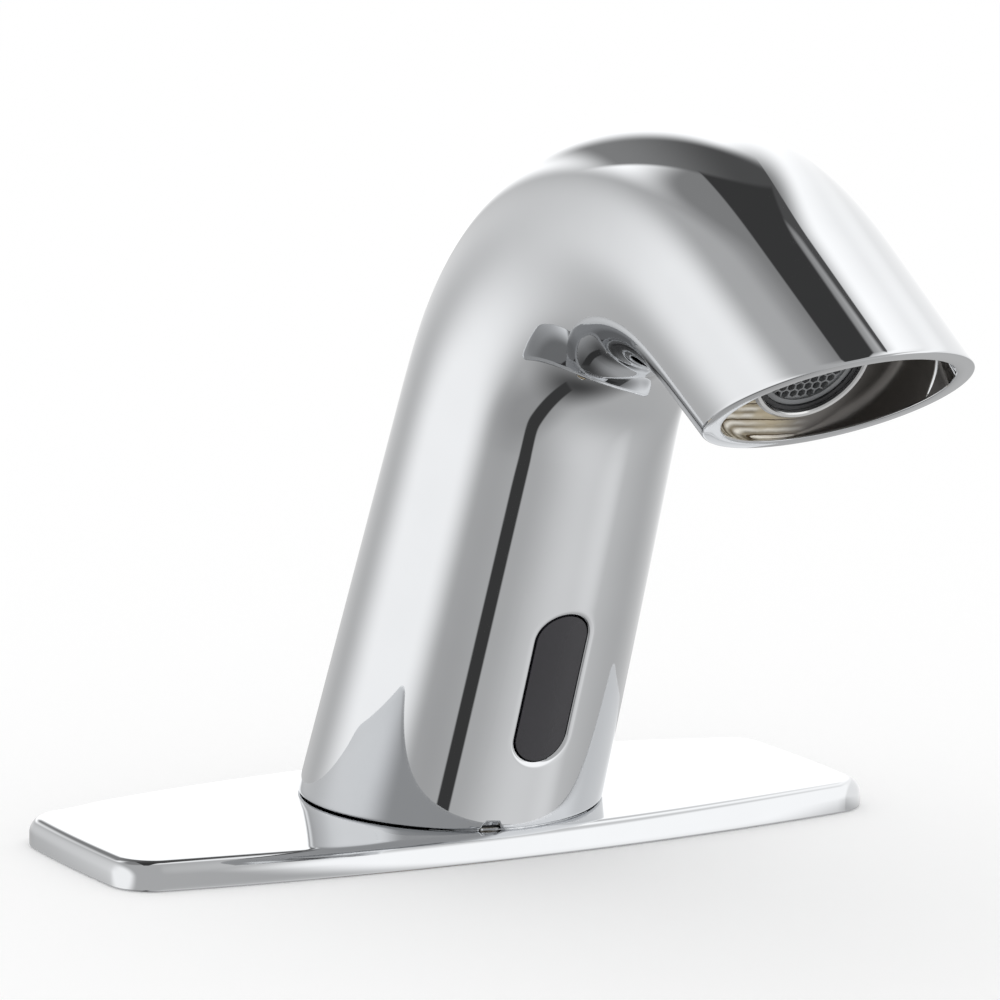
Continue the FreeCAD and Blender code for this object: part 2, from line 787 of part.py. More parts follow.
chamber_floor = valve_base + valve_floor_thickness
seat_top = chamber_floor + seat_height
valve_top = seat_top + piston_height + piston_travel
valve_flange_low = valve_top - valve_flange_thickness
leg_top = valve_base + valve_leg_height
riser_start = valve_base + riser_socket_height
inlet_ring_low = socket_mouth + 1.5 * ring_groove_depth


def square_plate(width, low, high):
    return block((-width / 2, width / 2), (valve_y - width / 2, valve_y + width / 2), (low, high))


def leg_web(x, y):
    """A web from a leg to the valve's wall, as wide as the leg."""
    distance = math.hypot(x, y - valve_y)
    web = block((0, distance), (-leg_radius * 0.7, leg_radius * 0.7), (valve_base, leg_top))
    web.rotate(Vector(0, 0, 0), z_axis, math.degrees(math.atan2(y - valve_y, x)))
    web.translate(Vector(0, valve_y, 0))
    return web


def make_valve_body():
    body = cylinder(valve_radius, valve_base, valve_top, 0, valve_y)
    solids = [square_plate(valve_flange, valve_flange_low, valve_top),
              cylinder(inlet_tube_radius + valve_socket_wall, socket_mouth, valve_base + 1, 0, valve_y),
              cylinder(outlet_radius, valve_base + 1, valve_base + outlet_top, outlet_x, valve_y),
              block((0, outlet_x), (valve_y - outlet_radius * 0.8, valve_y + outlet_radius * 0.8),
                    (valve_base + 1, riser_start - 1))]
    for x, y in (left_leg, right_leg):
        solids += [cylinder(leg_radius, shelf_station, leg_top, x, y), leg_web(x, y)]
    body = body.fuse(solids)
    cuts = [cylinder(inlet_tube_radius + slip, socket_mouth - 1, socket_floor, 0, valve_y),
            cylinder(inlet_tube_radius + slip + ring_groove_depth, inlet_ring_low,
                     inlet_ring_low + ring_groove_height, 0, valve_y),
            ring(chamber_radius, seat_radius, chamber_floor, seat_top, 0, valve_y),
            cylinder(chamber_radius, seat_top, valve_top + 1, 0, valve_y),
            cylinder(inlet_tube_bore, socket_floor - 1, seat_top + 1, 0, valve_y),
            cylinder(riser_radius + slip, riser_start, valve_base + outlet_top + 1, outlet_x, valve_y),
            cylinder(riser_bore, chamber_floor, riser_start + 1, outlet_x, valve_y)]
    cuts.append(Part.makeCylinder(seat_height / 2 - 0.2, outlet_x - chamber_radius + 1,
                                  Vector(chamber_radius - 1, valve_y, chamber_floor + seat_height / 2),
                                  x_axis))
    for x, y in (left_leg, right_leg):
        cuts.append(cylinder(valve_screw_radius + slip, shelf_station - 1, leg_top + 1, x, y))
    for x, y in bonnet_screw_places():
        cuts.append(cylinder(valve_screw_radius, valve_flange_low, valve_top + 1, x, y))
    return body.cut(cuts)


def bonnet_screw_places():
    return [(sx * bonnet_screw_offset, valve_y + sy * bonnet_screw_offset) for sx in (-1, 1)
            for sy in (-1, 1)]


def pan_screw(radius, length, top, x, y):
    """A pan-head screw with its head standing on the level called top."""
    head = 1.7 * radius
    return turned([(0, top - length), (radius, top - length), (radius, top), (head, top),
                   (head, top + 0.8 * radius), (head * 0.8, top + 1.3 * radius), (0, top + 1.3 * radius)], x,
                   y)


keep("valve_body", in_column(make_valve_body()))
keep("inlet_o_rings", Part.makeCompound([
    seal_ring(inlet_tube_radius + slip, union_ring_low, 0, inlet_tube_y),
    in_column(seal_ring(inlet_tube_radius + slip, inlet_ring_low, 0, valve_y))]))
keep("valve_screws", in_column(Part.makeCompound(
    [pan_screw(valve_screw_radius, leg_top - shelf_station + valve_screw_bite, leg_top, x, y)
     for x, y in (left_leg, right_leg)])))

piston_radius = chamber_radius - piston_clearance
piston_top = seat_top + piston_height
cup_radius = piston_cup_radius
cup_floor = seat_top + piston_floor
groove_low, groove_high = (seat_top + level for level in piston_groove)
groove_radius = piston_radius - piston_groove_depth
piston = turned([(0, seat_top + piston_pad_thickness), (piston_pad_radius, seat_top + piston_pad_thickness),
                 (piston_pad_radius, seat_top), (piston_radius - 1, seat_top), (piston_radius, seat_top + 1),
                 (piston_radius, groove_low), (groove_radius, groove_low), (groove_radius, groove_high),
                 (piston_radius, groove_high), (piston_radius, piston_top), (cup_radius, piston_top),
                 (cup_radius, cup_floor), (0, cup_floor)], 0, valve_y)
keep("valve_piston", in_column(piston))
keep("piston_pad", in_column(cylinder(piston_pad_radius - slip, seat_top, seat_top + piston_pad_thickness, 0,
                                      valve_y)))
keep("piston_seal", in_column(ring(chamber_radius - slip, groove_radius, groove_low, groove_high, 0,
                                   valve_y)))

bonnet_top = valve_top + bonnet_thickness
nozzle_tip = bonnet_top - pilot_recess
tube_flange_radius = core_tube_flange_radius
tube_flange_low = bonnet_top - core_tube_flange_thickness
bonnet = square_plate(valve_flange, valve_top, bonnet_top)
bonnet = bonnet.cut([cylinder(tube_flange_radius + slip, tube_flange_low, bonnet_top + 1, 0, valve_y),
                     ring(cup_radius, 2.5 * pilot_radius, valve_top, valve_top + piston_spring_pocket, 0,
                          valve_y)])
bonnet = bonnet.fuse(turned([(0, tube_flange_low), (2 * pilot_radius, tube_flange_low),
                             (pilot_radius, nozzle_tip),
                             (0, nozzle_tip)],
                            0, valve_y))
bonnet = bonnet.cut([cylinder(pilot_bore, valve_top - 1, nozzle_tip + 1, 0, valve_y)]
                    + [cylinder(valve_screw_radius + slip, valve_top - 1, bonnet_top + 1, x, y)
                       for x, y in bonnet_screw_places()])
keep("valve_bonnet", in_column(bonnet))
keep("bonnet_screws", in_column(Part.makeCompound(
    [pan_screw(valve_screw_radius, bonnet_thickness + valve_flange_thickness - seat_gap, bonnet_top, x, y)
     for x, y in bonnet_screw_places()])))
keep("piston_spring", in_column(spring(piston_spring, piston_spring_turn_count, cup_floor,
                                       valve_top + piston_spring_pocket, 0,
                                       valve_y)))

tube_top = tube_flange_low + core_tube_length
tube_cap = core_tube_cap
core_tube = turned([(core_tube_bore, tube_flange_low), (tube_flange_radius, tube_flange_low),
                    (tube_flange_radius, bonnet_top), (core_tube_radius, bonnet_top),
                    (core_tube_radius, tube_top),
                    (core_stud_radius, tube_top), (core_stud_radius, tube_top + core_stud_length),
                    (0, tube_top + core_stud_length), (0, tube_top - tube_cap),
                    (core_tube_bore, tube_top - tube_cap)], 0, valve_y)
keep("core_tube", in_column(core_tube))

armature_low = nozzle_tip + armature_shoulder
armature_high = armature_low + armature_length
core_low = armature_high + armature_travel
spring_bore = armature_spring_bore
spring_floor = armature_high - armature_spring_depth
armature = turned([(armature_seal_radius, armature_low), (armature_radius, armature_low),
                   (armature_radius, armature_high), (spring_bore, armature_high),
                   (spring_bore, spring_floor),
                   (0, spring_floor), (0, nozzle_tip + armature_seal_length),
                   (armature_seal_radius, nozzle_tip + armature_seal_length)], 0, valve_y)
keep("armature", in_column(armature))
keep("armature_seal", in_column(cylinder(armature_seal_radius, nozzle_tip, nozzle_tip + armature_seal_length,
                                         0, valve_y)))
keep("armature_spring", in_column(spring(armature_spring, armature_spring_turn_count, spring_floor, core_low,
                                         0, valve_y)))
keep("fixed_core", in_column(cylinder(core_tube_bore - slip, core_low, tube_top - tube_cap, 0, valve_y)))

yoke_low = bonnet_top + yoke_gap
bobbin_low = yoke_low + yoke_thickness
bobbin_high = tube_top - yoke_thickness
bobbin_bore = core_tube_radius + slip
bobbin_core = bobbin_bore + bobbin_core_wall
winding_low = bobbin_low + bobbin_flange_thickness
winding_high = bobbin_high - bobbin_flange_thickness
bobbin = turned([(bobbin_bore, bobbin_low), (bobbin_flange_radius, bobbin_low),
                 (bobbin_flange_radius, winding_low),
                 (bobbin_core, winding_low), (bobbin_core, winding_high),
                 (bobbin_flange_radius, winding_high),
                 (bobbin_flange_radius, bobbin_high), (bobbin_bore, bobbin_high)], 0, valve_y)
terminal_front = valve_y - bobbin_flange_radius - terminal_reach
terminal = block((solenoid_lead_x - terminal_size / 2, solenoid_lead_x + terminal_size / 2),
                 (terminal_front, valve_y - winding_radius * 0.9),
                 (winding_high - terminal_size, bobbin_high))
terminal = terminal.cut(cylinder(winding_radius + slip, bobbin_low, bobbin_high, 0, valve_y))
keep("coil_bobbin", in_column(bobbin.fuse(terminal)))
keep("coil_winding", in_column(ring(winding_radius, bobbin_core, winding_low, winding_high, 0, valve_y)))

yoke_back = valve_y + bobbin_flange_radius + slip
yoke_x = (-yoke_width / 2, yoke_width / 2)
yoke = block(yoke_x, (valve_y - yoke_width / 2, yoke_back + yoke_thickness), (yoke_low, bobbin_low))
yoke = yoke.fuse([block(yoke_x, (valve_y - yoke_width / 2, yoke_back + yoke_thickness),
                        (bobbin_high, tube_top)),
                  block(yoke_x, (yoke_back, yoke_back + yoke_thickness), (yoke_low, tube_top))])
keep("coil_yoke", in_column(yoke.cut(cylinder(bobbin_bore, yoke_low - 1, tube_top + 1, 0, valve_y))))
keep("yoke_nut", in_column(hexagon(yoke_nut_width, tube_top, tube_top + yoke_nut_height, 0, valve_y)
                           .cut(cylinder(core_stud_radius + slip, tube_top - 1, tube_top + core_stud_length,
                                         0, valve_y))))


# ---------- water outlet ----------

def bend_point(turn, x, outward):
    """A point in the bend: an angle round it, a sideways and an outward offset."""
    frame = path_frame(column_length + bend_radius * math.radians(turn))
    return frame.multVec(Vector(x, outward, 0))


riser_end = aerator_seat - 1.0
riser_points = [in_column(Vector(outlet_x, valve_y, riser_start)),
                in_column(Vector(outlet_x, valve_y, column_length - 2)),
                bend_point(30, 0.8 * outlet_x, 2.0),
                bend_point(62, 0.42 * outlet_x, 0.0),
                in_nozzle(Vector(0, 0, riser_end - riser_straight)),
                in_nozzle(Vector(0, 0, riser_end))]
riser_bends = run_radii(riser_points)
keep("riser_tube", rod(riser_points, riser_bends,
                       riser_radius).cut(rod(riser_points, riser_bends, riser_bore)))

tail_low = aerator_seat - adapter_tail_length
adapter_ring_low = aerator_seat - 3.0
tail = adapter_tail_radius
adapter = turned([(riser_radius + slip, tail_low), (tail, tail_low), (tail, adapter_ring_low),
                  (tail - ring_groove_depth, adapter_ring_low),
                  (tail - ring_groove_depth, adapter_ring_low + ring_groove_height),
                  (tail, adapter_ring_low + ring_groove_height), (tail, aerator_seat),
                  (aerator_radius - slip, aerator_seat),
                  (aerator_radius - slip, aerator_seat + adapter_flange_thickness),
                  (riser_bore, aerator_seat + adapter_flange_thickness), (riser_bore, riser_end),
                  (riser_radius + slip, riser_end)])
keep("riser_adapter", in_nozzle(adapter))
keep("adapter_o_ring", in_nozzle(seal_ring(tail - ring_groove_depth + slip, adapter_ring_low)))

washer_low = aerator_seat + adapter_flange_thickness
cage_low = washer_low + washer_thickness
ring_bore = aerator_radius - aerator_ring_width
insert_radius = ring_bore - slip
insert_bore = insert_radius - insert_wall
insert_face = aerator_face - aerator_recess
keep("aerator_washer", in_nozzle(ring(aerator_radius - slip, insert_bore, washer_low, cage_low)))
lip = 0.5
keep("aerator_housing", in_nozzle(turned(
    [(ring_bore, cage_low), (aerator_radius, cage_low), (aerator_radius, aerator_face - lip),
     (aerator_radius - lip, aerator_face), (ring_bore + lip / 2, aerator_face),
     (ring_bore, aerator_face - lip / 2)])))
keep("aerator_insert", in_nozzle(ring(insert_radius, insert_bore, cage_low, insert_face)))

screen_low = cage_low + screen_lift
screen = cylinder(insert_bore - slip, screen_low, screen_low + screen_thickness)
for k in range(screen_hole_count):
    angle = 2 * math.pi * k / screen_hole_count
    screen = screen.cut(cylinder(screen_hole_radius, cage_low, insert_face,
                                 screen_hole_circle * math.cos(angle), screen_hole_circle * math.sin(angle)))
keep("aerator_screen", in_nozzle(screen))

comb_face = insert_face - honeycomb_recess
comb_radius = insert_bore - slip
comb_window = comb_radius - honeycomb_rim
comb_low = comb_face - honeycomb_depth
cells = []
row_step = honeycomb_pitch * math.sqrt(3) / 2
rows = int(comb_window / row_step) + 1
for row in range(-rows, rows + 1):
    for column in range(-rows, rows + 1):
        x = honeycomb_pitch * (column + (row % 2) / 2)
        y = row_step * row
        if math.hypot(x, y) < comb_window:
            cell = hexagon(honeycomb_cell, comb_low - 1, comb_face + 1)
            cell.rotate(Vector(0, 0, 0), z_axis, 30)
            cell.translate(Vector(x, y, 0))
            cells.append(cell.common(cylinder(comb_window, comb_low - 1, comb_face + 1)))
comb = cylinder(comb_radius, comb_low, comb_face)
comb = comb.cut(cylinder(comb_window, comb_face - honeycomb_recess, comb_face + 1))
keep("honeycomb_outlet", in_nozzle(comb.cut(cells)))


# ---------- sensor window and module ----------

flange_width = window_width + 2 * window_flange_margin
flange_length = window_length + 2 * window_flange_margin
gasket_back = -pocket_depth_y + window_gasket_thickness
lens_back = gasket_back + window_flange_thickness
lens = stadium(window_width - 2 * window_gap, window_length - 2 * window_gap, window_station,
               -foot_radius, gasket_back + 0.5)
column_skin = body_solid(0, column_length, window_recess)
lens = in_column(lens).common(column_skin)
lens = lens.fuse(in_column(stadium(flange_width, flange_length, window_station, gasket_back, lens_back)))
keep("sensor_window", lens.removeSplitter())
gasket = stadium(flange_width, flange_length, window_station, -pocket_depth_y, gasket_back)
keep("window_gasket", in_column(gasket.cut(stadium(window_width, window_length, window_station,
                                                    -pocket_depth_y - 1, gasket_back + 1))))

module_back = module_front + module_depth
module_x = (-module_half_width, module_half_width)
inner_x = (-module_half_width + module_wall, module_half_width - module_wall)
screw_x = module_half_width - cover_boss_radius
screw_stations = (module_bottom + cover_boss_radius, module_top - cover_boss_radius)


def cover_screw_places():
    return [(side * screw_x, station) for side in (-1, 1) for station in screw_stations]


def along_y(radius, low, high, x, station):
    return Part.makeCylinder(radius, high - low, Vector(x, low, station), Vector(0, 1, 0))


housing = block(module_x, (module_front, module_back), (module_bottom, module_top))
housing = housing.cut(block(inner_x, (module_front - 1, module_back + 1),
                            (module_bottom + module_wall, module_top - module_wall)))
boss_front = module_back - cover_screw_length
for x, station in cover_screw_places():
    boss = along_y(cover_boss_radius, boss_front, module_back, x, station)
    housing = housing.fuse(boss)
for x, station in cover_screw_places():
    housing = housing.cut(along_y(cover_screw_radius, boss_front, module_back, x, station))
inner_y = module_front + board_setback + board_thickness / 2
housing = housing.cut(cylinder(lead_radius + slip, module_top - 2 * module_wall, module_top + 1, lead_x,
                               inner_y))
housing = housing.cut(cylinder(lead_radius + slip, module_top - 2 * module_wall, module_top + 1,
                               solenoid_lead_x, inner_y))
keep("sensor_housing", in_column(housing))

cover_back = module_back + cover_thickness
cover = block(module_x, (module_back, cover_back), (module_bottom, module_top))
screws = []
for x, station in cover_screw_places():
    screw = countersunk(cover_screw_radius, cover_screw_length + cover_thickness - seat_gap, 0)
    screw.rotate(Vector(0, 0, 0), x_axis, -90)
    screw.translate(Vector(x, cover_back, station))
    screws.append(screw)
    cover = cover.cut(screw)
keep("sensor_cover", in_column(cover))
keep("cover_screws", in_column(Part.makeCompound(screws)))

board_face = module_front + board_setback
board_back = board_face + board_thickness
board_range = (module_bottom + board_margin, module_top - board_margin)
board_x = (inner_x[0] + module_gap, inner_x[1] - module_gap)
keep("sensor_board", in_column(block(board_x, (board_face, board_back), board_range)))
half_chip = chip_width / 2
chip = block((-half_chip, half_chip), (board_back, board_back + chip_height),
             (window_station - half_chip, window_station + half_chip))
plug_top = board_range[1] - board_margin / 2
plug = block((-plug_width / 2, plug_width / 2), (board_back, board_back + plug_height),
             (plug_top - plug_width / 2, plug_top))
capacitor = along_y(capacitor_radius, board_back, module_back - seat_gap, 0,
                    board_range[0] + 2 * capacitor_radius)
keep("board_parts", in_column(Part.makeCompound([chip, plug, capacitor])))


def diode(radius, front, station):
    """A domed diode that stands on the board's face."""
    body = along_y(radius, front + radius, board_face, 0, station)
    dome = Part.makeSphere(radius, Vector(0, front + radius, station))
    collar = along_y(diode_collar_radius, board_face - 1.0, board_face, 0, station)
    return body.fuse([dome, collar])


diode_front = module_front + seat_gap
keep("infrared_emitter", in_column(diode(diode_radius, diode_front, window_station + emitter_offset)))
keep("infrared_receiver", in_column(diode(diode_radius, diode_front, window_station - emitter_offset)))

baffle_y = (module_front + seat_gap, board_face)
baffle = [block(board_x, baffle_y, (window_station + side * baffle_offset - baffle_thickness / 2,
                                    window_station + side * baffle_offset + baffle_thickness / 2))
          for side in (-1, 1)]
tie = block((board_x[1] - baffle_thickness, board_x[1]), baffle_y,
            (window_station - baffle_offset, window_station + baffle_offset))
keep("light_baffle", in_column(baffle[0].fuse([baffle[1], tie])))

clamp_x = (-clamp_width / 2, clamp_width / 2)
clamp_front = cover_back
foot_top = shelf_station + clamp_thickness
clamp = block(clamp_x, (clamp_front, clamp_front + 1.0), (shelf_station, shelf_station + clamp_height))
clamp = clamp.fuse(block(clamp_x, (clamp_front + 1.0 - clamp_foot, clamp_front + 1.0),
                         (shelf_station, foot_top)))
clamp_bolt = countersunk(clamp_screw_radius, clamp_screw_length, foot_top, 0, clamp_screw_y)
keep("sensor_clamp", in_column(clamp.cut(clamp_bolt)))
keep("clamp_screw", in_column(clamp_bolt))


# ---------- leads ----------

supply_points = lead_route()
keep("supply_lead", rod(supply_points, [min(r, lead_bend_limit) for r in run_radii(supply_points)],
                        lead_radius))
terminal_station = winding_high - terminal_size / 2
solenoid_points = [in_column(Vector(solenoid_lead_x, inner_y, module_top)),
                   in_column(Vector(solenoid_lead_x, inner_y, terminal_station)),
                   in_column(Vector(solenoid_lead_x, terminal_front, terminal_station))]
keep("solenoid_lead", rod(solenoid_points, [3.0], lead_radius))
socket_low = socket_top - socket_length
plug_socket = cylinder(socket_radius, socket_low, socket_top, 0, socket_y)
plug_socket = plug_socket.cut(cylinder(socket_radius - socket_wall, socket_low - 1, socket_low + socket_depth,
                                          0, socket_y))
pins = [cylinder(socket_pin_radius, socket_low + 1, socket_low + socket_depth + 1, side * socket_pin_offset,
                 socket_y) for side in (-1, 1)]
keep("supply_socket", plug_socket.fuse(pins))

print(len(nodes), "nodes")
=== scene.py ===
import math
import bpy
import numpy as np
from mathutils import Matrix, Vector


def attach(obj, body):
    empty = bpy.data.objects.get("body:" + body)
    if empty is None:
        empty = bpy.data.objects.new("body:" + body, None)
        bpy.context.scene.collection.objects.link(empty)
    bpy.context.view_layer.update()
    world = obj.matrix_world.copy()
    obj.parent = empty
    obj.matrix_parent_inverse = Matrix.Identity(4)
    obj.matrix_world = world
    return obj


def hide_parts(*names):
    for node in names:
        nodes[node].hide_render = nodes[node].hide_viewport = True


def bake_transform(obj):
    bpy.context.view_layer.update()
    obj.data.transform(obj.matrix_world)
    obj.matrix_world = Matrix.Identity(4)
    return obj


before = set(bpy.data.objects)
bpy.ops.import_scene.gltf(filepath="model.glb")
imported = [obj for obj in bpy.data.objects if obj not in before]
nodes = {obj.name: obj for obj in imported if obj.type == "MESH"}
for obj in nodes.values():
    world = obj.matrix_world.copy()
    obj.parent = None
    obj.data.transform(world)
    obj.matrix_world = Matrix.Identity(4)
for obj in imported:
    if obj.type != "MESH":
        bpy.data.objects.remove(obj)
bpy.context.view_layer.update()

mm = 0.001
scene = bpy.context.scene
print("frame loaded,", len(nodes), "nodes")


class Sock:
    # wraps a number socket, so that + - * / and ** on it add Math nodes
    def __init__(self, graph, socket):
        self.graph = graph
        self.socket = socket

    def math(self, operation, *others):
        return self.graph.node("ShaderNodeMath", {"operation": operation}, dict(enumerate((self, *others))))

    def __add__(self, other):
        return self.math("ADD", other)

    __radd__ = __add__

    def __mul__(self, other):
        return self.math("MULTIPLY", other)

    __rmul__ = __mul__

    def __sub__(self, other):
        return self.math("SUBTRACT", other)

    def __rsub__(self, other):
        return self.graph.node("ShaderNodeMath", {"operation": "SUBTRACT"}, {0: other, 1: self})

    def __truediv__(self, other):
        return self.math("DIVIDE", other)

    def __pow__(self, other):
        return self.math("POWER", other)


class Graph:
    # a material's or the world's node tree
    def __init__(self, owner):
        owner.use_nodes = True
        self.tree = owner.node_tree
        self.tree.nodes.clear()

    def node(self, kind, settings=None, values=None, out=0):
        made = self.tree.nodes.new(kind)
        for key, value in (settings or {}).items():
            setattr(made, key, value)
        for key, value in (values or {}).items():
            if isinstance(value, Sock):
                self.tree.links.new(value.socket, made.inputs[key])
            else:
                made.inputs[key].default_value = value
        return Sock(self, made.outputs[out]) if made.outputs else None

    def place(self):
        return self.node("ShaderNodeTexCoord", out="Object")

    def vector(self, operation, first, second=None):
        out = 1 if operation == "DOT_PRODUCT" else 0
        values = {0: first} if second is None else {0: first, 1: second}
        return self.node("ShaderNodeVectorMath", {"operation": operation}, values, out)

    def smooth(self, value, low, high, start=0.0, end=1.0):
        # eases from start to end while value goes from low to high
        return self.node("ShaderNodeMapRange", {"interpolation_type": "SMOOTHSTEP"},
                         {0: value, 1: low, 2: high, 3: start, 4: end})

    def blend(self, share, first, second):
        # colours: first where share is 0, second where it is 1
        return self.node("ShaderNodeMix", {"data_type": "RGBA"}, {0: share, 6: first, 7: second}, out=2)

    def noise(self, scale, detail=3.0, rough=0.5, stretch=None):
        vector = self.place()
        if stretch:
            vector = self.node("ShaderNodeMapping", None, {"Vector": vector, "Scale": stretch})
        return self.node("ShaderNodeTexNoise", None,
                         {"Vector": vector, "Scale": scale, "Detail": detail, "Roughness": rough})

    def bump(self, height, strength, distance):
        return self.node("ShaderNodeBump", None,
                         {"Strength": strength, "Distance": distance, "Height": height})

    def finishSurface(self, shader):
        self.node("ShaderNodeOutputMaterial", None, {"Surface": shader})


def principled(name, **values):
    # a material whose listed sockets are set; a function of the graph may give a socket's value
    material = bpy.data.materials.new(name)
    graph = Graph(material)
    sockets = {}
    for key, value in values.items():
        sockets[key.replace("_", " ")] = value(graph) if callable(value) else value
    graph.finishSurface(graph.node("ShaderNodeBsdfPrincipled", None, sockets))
    return material


def meshFromQuads(name, points, quads, materials, slots=None):
    # a smooth mesh of points in millimetres, with a material slot for each quad
    mesh = bpy.data.meshes.new(name)
    mesh.from_pydata((points * mm).tolist(), [], quads.tolist())
    piece = bpy.data.objects.new(name, mesh)
    scene.collection.objects.link(piece)
    for material in materials:
        mesh.materials.append(material)
    if slots is not None:
        mesh.polygons.foreach_set("material_index", slots.astype(np.int32))
    mesh.polygons.foreach_set("use_smooth", np.ones(len(quads), bool))
    mesh.update()
    return piece


def facingOut(points, quads):
    # the quads turned over if they face inwards: six times the volume that they enclose is then below zero
    a, b, c, d = (points[quads[:, k]] for k in range(4))
    volume = np.einsum("ij,ij->i", a, np.cross(b, c) + np.cross(c, d)).sum()
    return quads[:, ::-1] if volume < 0 else quads


plate = {
    "length": 160.0,
    "width": 62.0,
    "sideBow": 7.2,
    "endBow": 0.8,
    "cornerRadius": 8.5,
    "height": 5.5,
    "rounding": 3.0,
    "wall": 1.6,
    "hole": 14.2,
    "seat": 28.1,           # radius of the flat seat under the body
    "crown": 1.2,           # how far the top rises over its flat height
    "crownMiddle": 12.0,    # behind the shank
    "crownFall": 0.001,     # per millimetre squared
    "crownReach": 66.0,     # half length over which it fades
    "backCorner": 1.2,      # how far the back corners are drawn in
    "backFrom": 60.0,       # half length where that starts
    "backOver": 12.0,       # length over which it grows
    "backHalf": 22.0,       # half width over which it grows
    "chamfer": 0.4,         # at the lower edge
    "sidePoints": 40,       # of a quarter of the outline
    "cornerPoints": 20,
    "endPoints": 12,
    "rings": 14,            # over the top, and round its edge
}


def crown(x, y):
    # rise of the plate's top: a parabola across it, fading as another parabola along it
    across = plate["crown"] - plate["crownFall"] * (y - plate["crownMiddle"]) ** 2
    return across * np.clip(1 - (x / plate["crownReach"]) ** 2, 0, 1)


body = {
    "seat": 5.5,            # top of the plate, where the axis starts
    "foot": 6.1,            # underside of the casting, on its gasket
    "rim": 5.72,            # lowest edge of the skin, where the plate is flat
    "spigot": 27.9,         # radius of the part that stands in the gasket
    "spigotFlare": 0.3,
    "lean": math.radians(22.5),
    "bend": math.radians(97.0),
    "column": 90.0,
    "bendRadius": 55.0,
    "nozzle": 27.0,
    "easing": 18.0,         # length over which the bend's curvature grows and fades
    "footRadius": 29.0,
    "columnRadius": 26.0,
    "mouthRadius": 23.2,
    "depthRatio": 0.92,
    "wall": 3.2,
    "mouthTilt": math.radians(27.0),
    "footRounding": 0.5,
    "rimRounding": 0.45,
    "windowStation": 40.7,
    "windowWidth": 10.6,
    "windowLength": 31.5,
    "windowRoll": 1.3,      # rounding of the opening's edge
    "patchAngle": math.radians(22.5),   # half width of the patch round the window
    "patchMargin": 5.0,     # from the window's ends to the patch's
    "patchGap": 1.5,        # from the patch to the rings that slant
    "slantStart": 4.0,      # past the bend's end, where the nozzle's rings start to slant
    "notchAngle": math.radians(-13.0),  # the weep notch in the foot
    "notchWidth": 3.6,
    "notchHeight": 1.5,
    "notchSquareness": 12,
}

mouth = {
    "lip": 0.3,             # rounding of the rim's inner edge
    "lipShare": 0.4,        # and at most this share of the wall's depth
    "leastDepth": 0.02,
    "ledge": -2.5,          # where the machined wall meets the casting, from the mouth's middle
    "ledgeDepth": 0.25,
    "ledgeFade": 2.0,       # depth of machined wall over which the ledge grows
    "ledgeDrop": 0.12,      # how far down its slope reaches
    "dropShare": 0.3,       # and at most this share of the casting's depth
    "leastMachined": 0.1,
    "leastCast": 0.12,      # least share of the depth that stays cast
    "filletShare": 0.8,     # most of it that the round corner takes
}

aerator = {
    "partitionFront": -13.0,    # along the nozzle from the mouth's middle
    "fillet": 2.5,
    "chamferWidth": 0.25,
    "chamferDepth": 0.3,
    "partitionBack": -19.0,
    "bossBack": -28.0,
    "bossRadius": 14.5,
    "seat": -24.0,
    "radius": 11.5,
    "tailRadius": 8.0,
    "slip": 0.05,
}

shelf = {"station": 20.0, "hole": 12.0, "recess": 22.0, "recessTop": 12.5}

# how finely the body is divided: points round it, and rings of each stretch
rings = {
    "columns": 216,
    "crowding": 3.0,        # how many more there are by the notch
    "crowdedAngle": math.radians(5),
    "footEdge": 7,
    "low": 25,              # foot to window
    "patch": 48,            # beside the window
    "upper": 149,           # window to the bend's end
    "nozzle": 43,
    "rimEdge": 6,
    "machined": 17,
    "cast": 18,
    "fillet": 9,
    "partition": 7,
    "hollow": 60,           # partition to window, inside
    "outerPatch": 10,
    "outerPatchPower": 1.3,
    "windowEdge": 8,
    "innerPatch": 3,
}

# the station of a level edge is looked for this far to each side of a guess
footSearch = 40.0
mouthSearch = 30.0


def makePath(step=0.25):
    # the body's middle line: the heading is the running sum of a curvature that eases in and out,
    # and the place is the running sum of the heading's direction
    length = body["column"] + body["bendRadius"] * body["bend"] + body["nozzle"] + mouthSearch + 10
    station = np.arange(0, length, step)
    ease = body["easing"] / 2
    start = body["column"]
    end = start + body["bendRadius"] * body["bend"]
    rise = np.clip((station - start + ease) / (2 * ease), 0, 1)
    fall = np.clip((end + ease - station) / (2 * ease), 0, 1)
    curvature = rise * fall / body["bendRadius"]
    heading = body["lean"] + np.concatenate([[0], np.cumsum((curvature[1:] + curvature[:-1]) / 2 * step)])
    dy, dz = -np.sin(heading), np.cos(heading)
    y = np.concatenate([[0], np.cumsum((dy[1:] + dy[:-1]) / 2 * step)])
    z = np.concatenate([[0], np.cumsum((dz[1:] + dz[:-1]) / 2 * step)]) + body["seat"]
    return station, heading, y, z


pathStation, pathHeading, pathY, pathZ = makePath()
bendEnd = body["column"] + body["bendRadius"] * body["bend"]
mouthStation = bendEnd + body["nozzle"]
partitionStation = mouthStation + aerator["partitionFront"]
patchHalf = body["windowLength"] / 2 + body["patchMargin"]
patchLow, patchHigh = body["windowStation"] - patchHalf, body["windowStation"] + patchHalf
patchStations = np.linspace(patchLow, patchHigh, rings["patch"] + 1)
hollowPatch = np.linspace(patchHigh - body["patchGap"], patchLow + body["patchGap"], rings["patch"] + 1)


def onPath(station, table):
    # the table's value at a station, carried on in a straight line before the start
    inside = np.interp(station, pathStation, table)
    slope = (table[1] - table[0]) / (pathStation[1] - pathStation[0])
    return np.where(station < 0, table[0] + slope * station, inside)


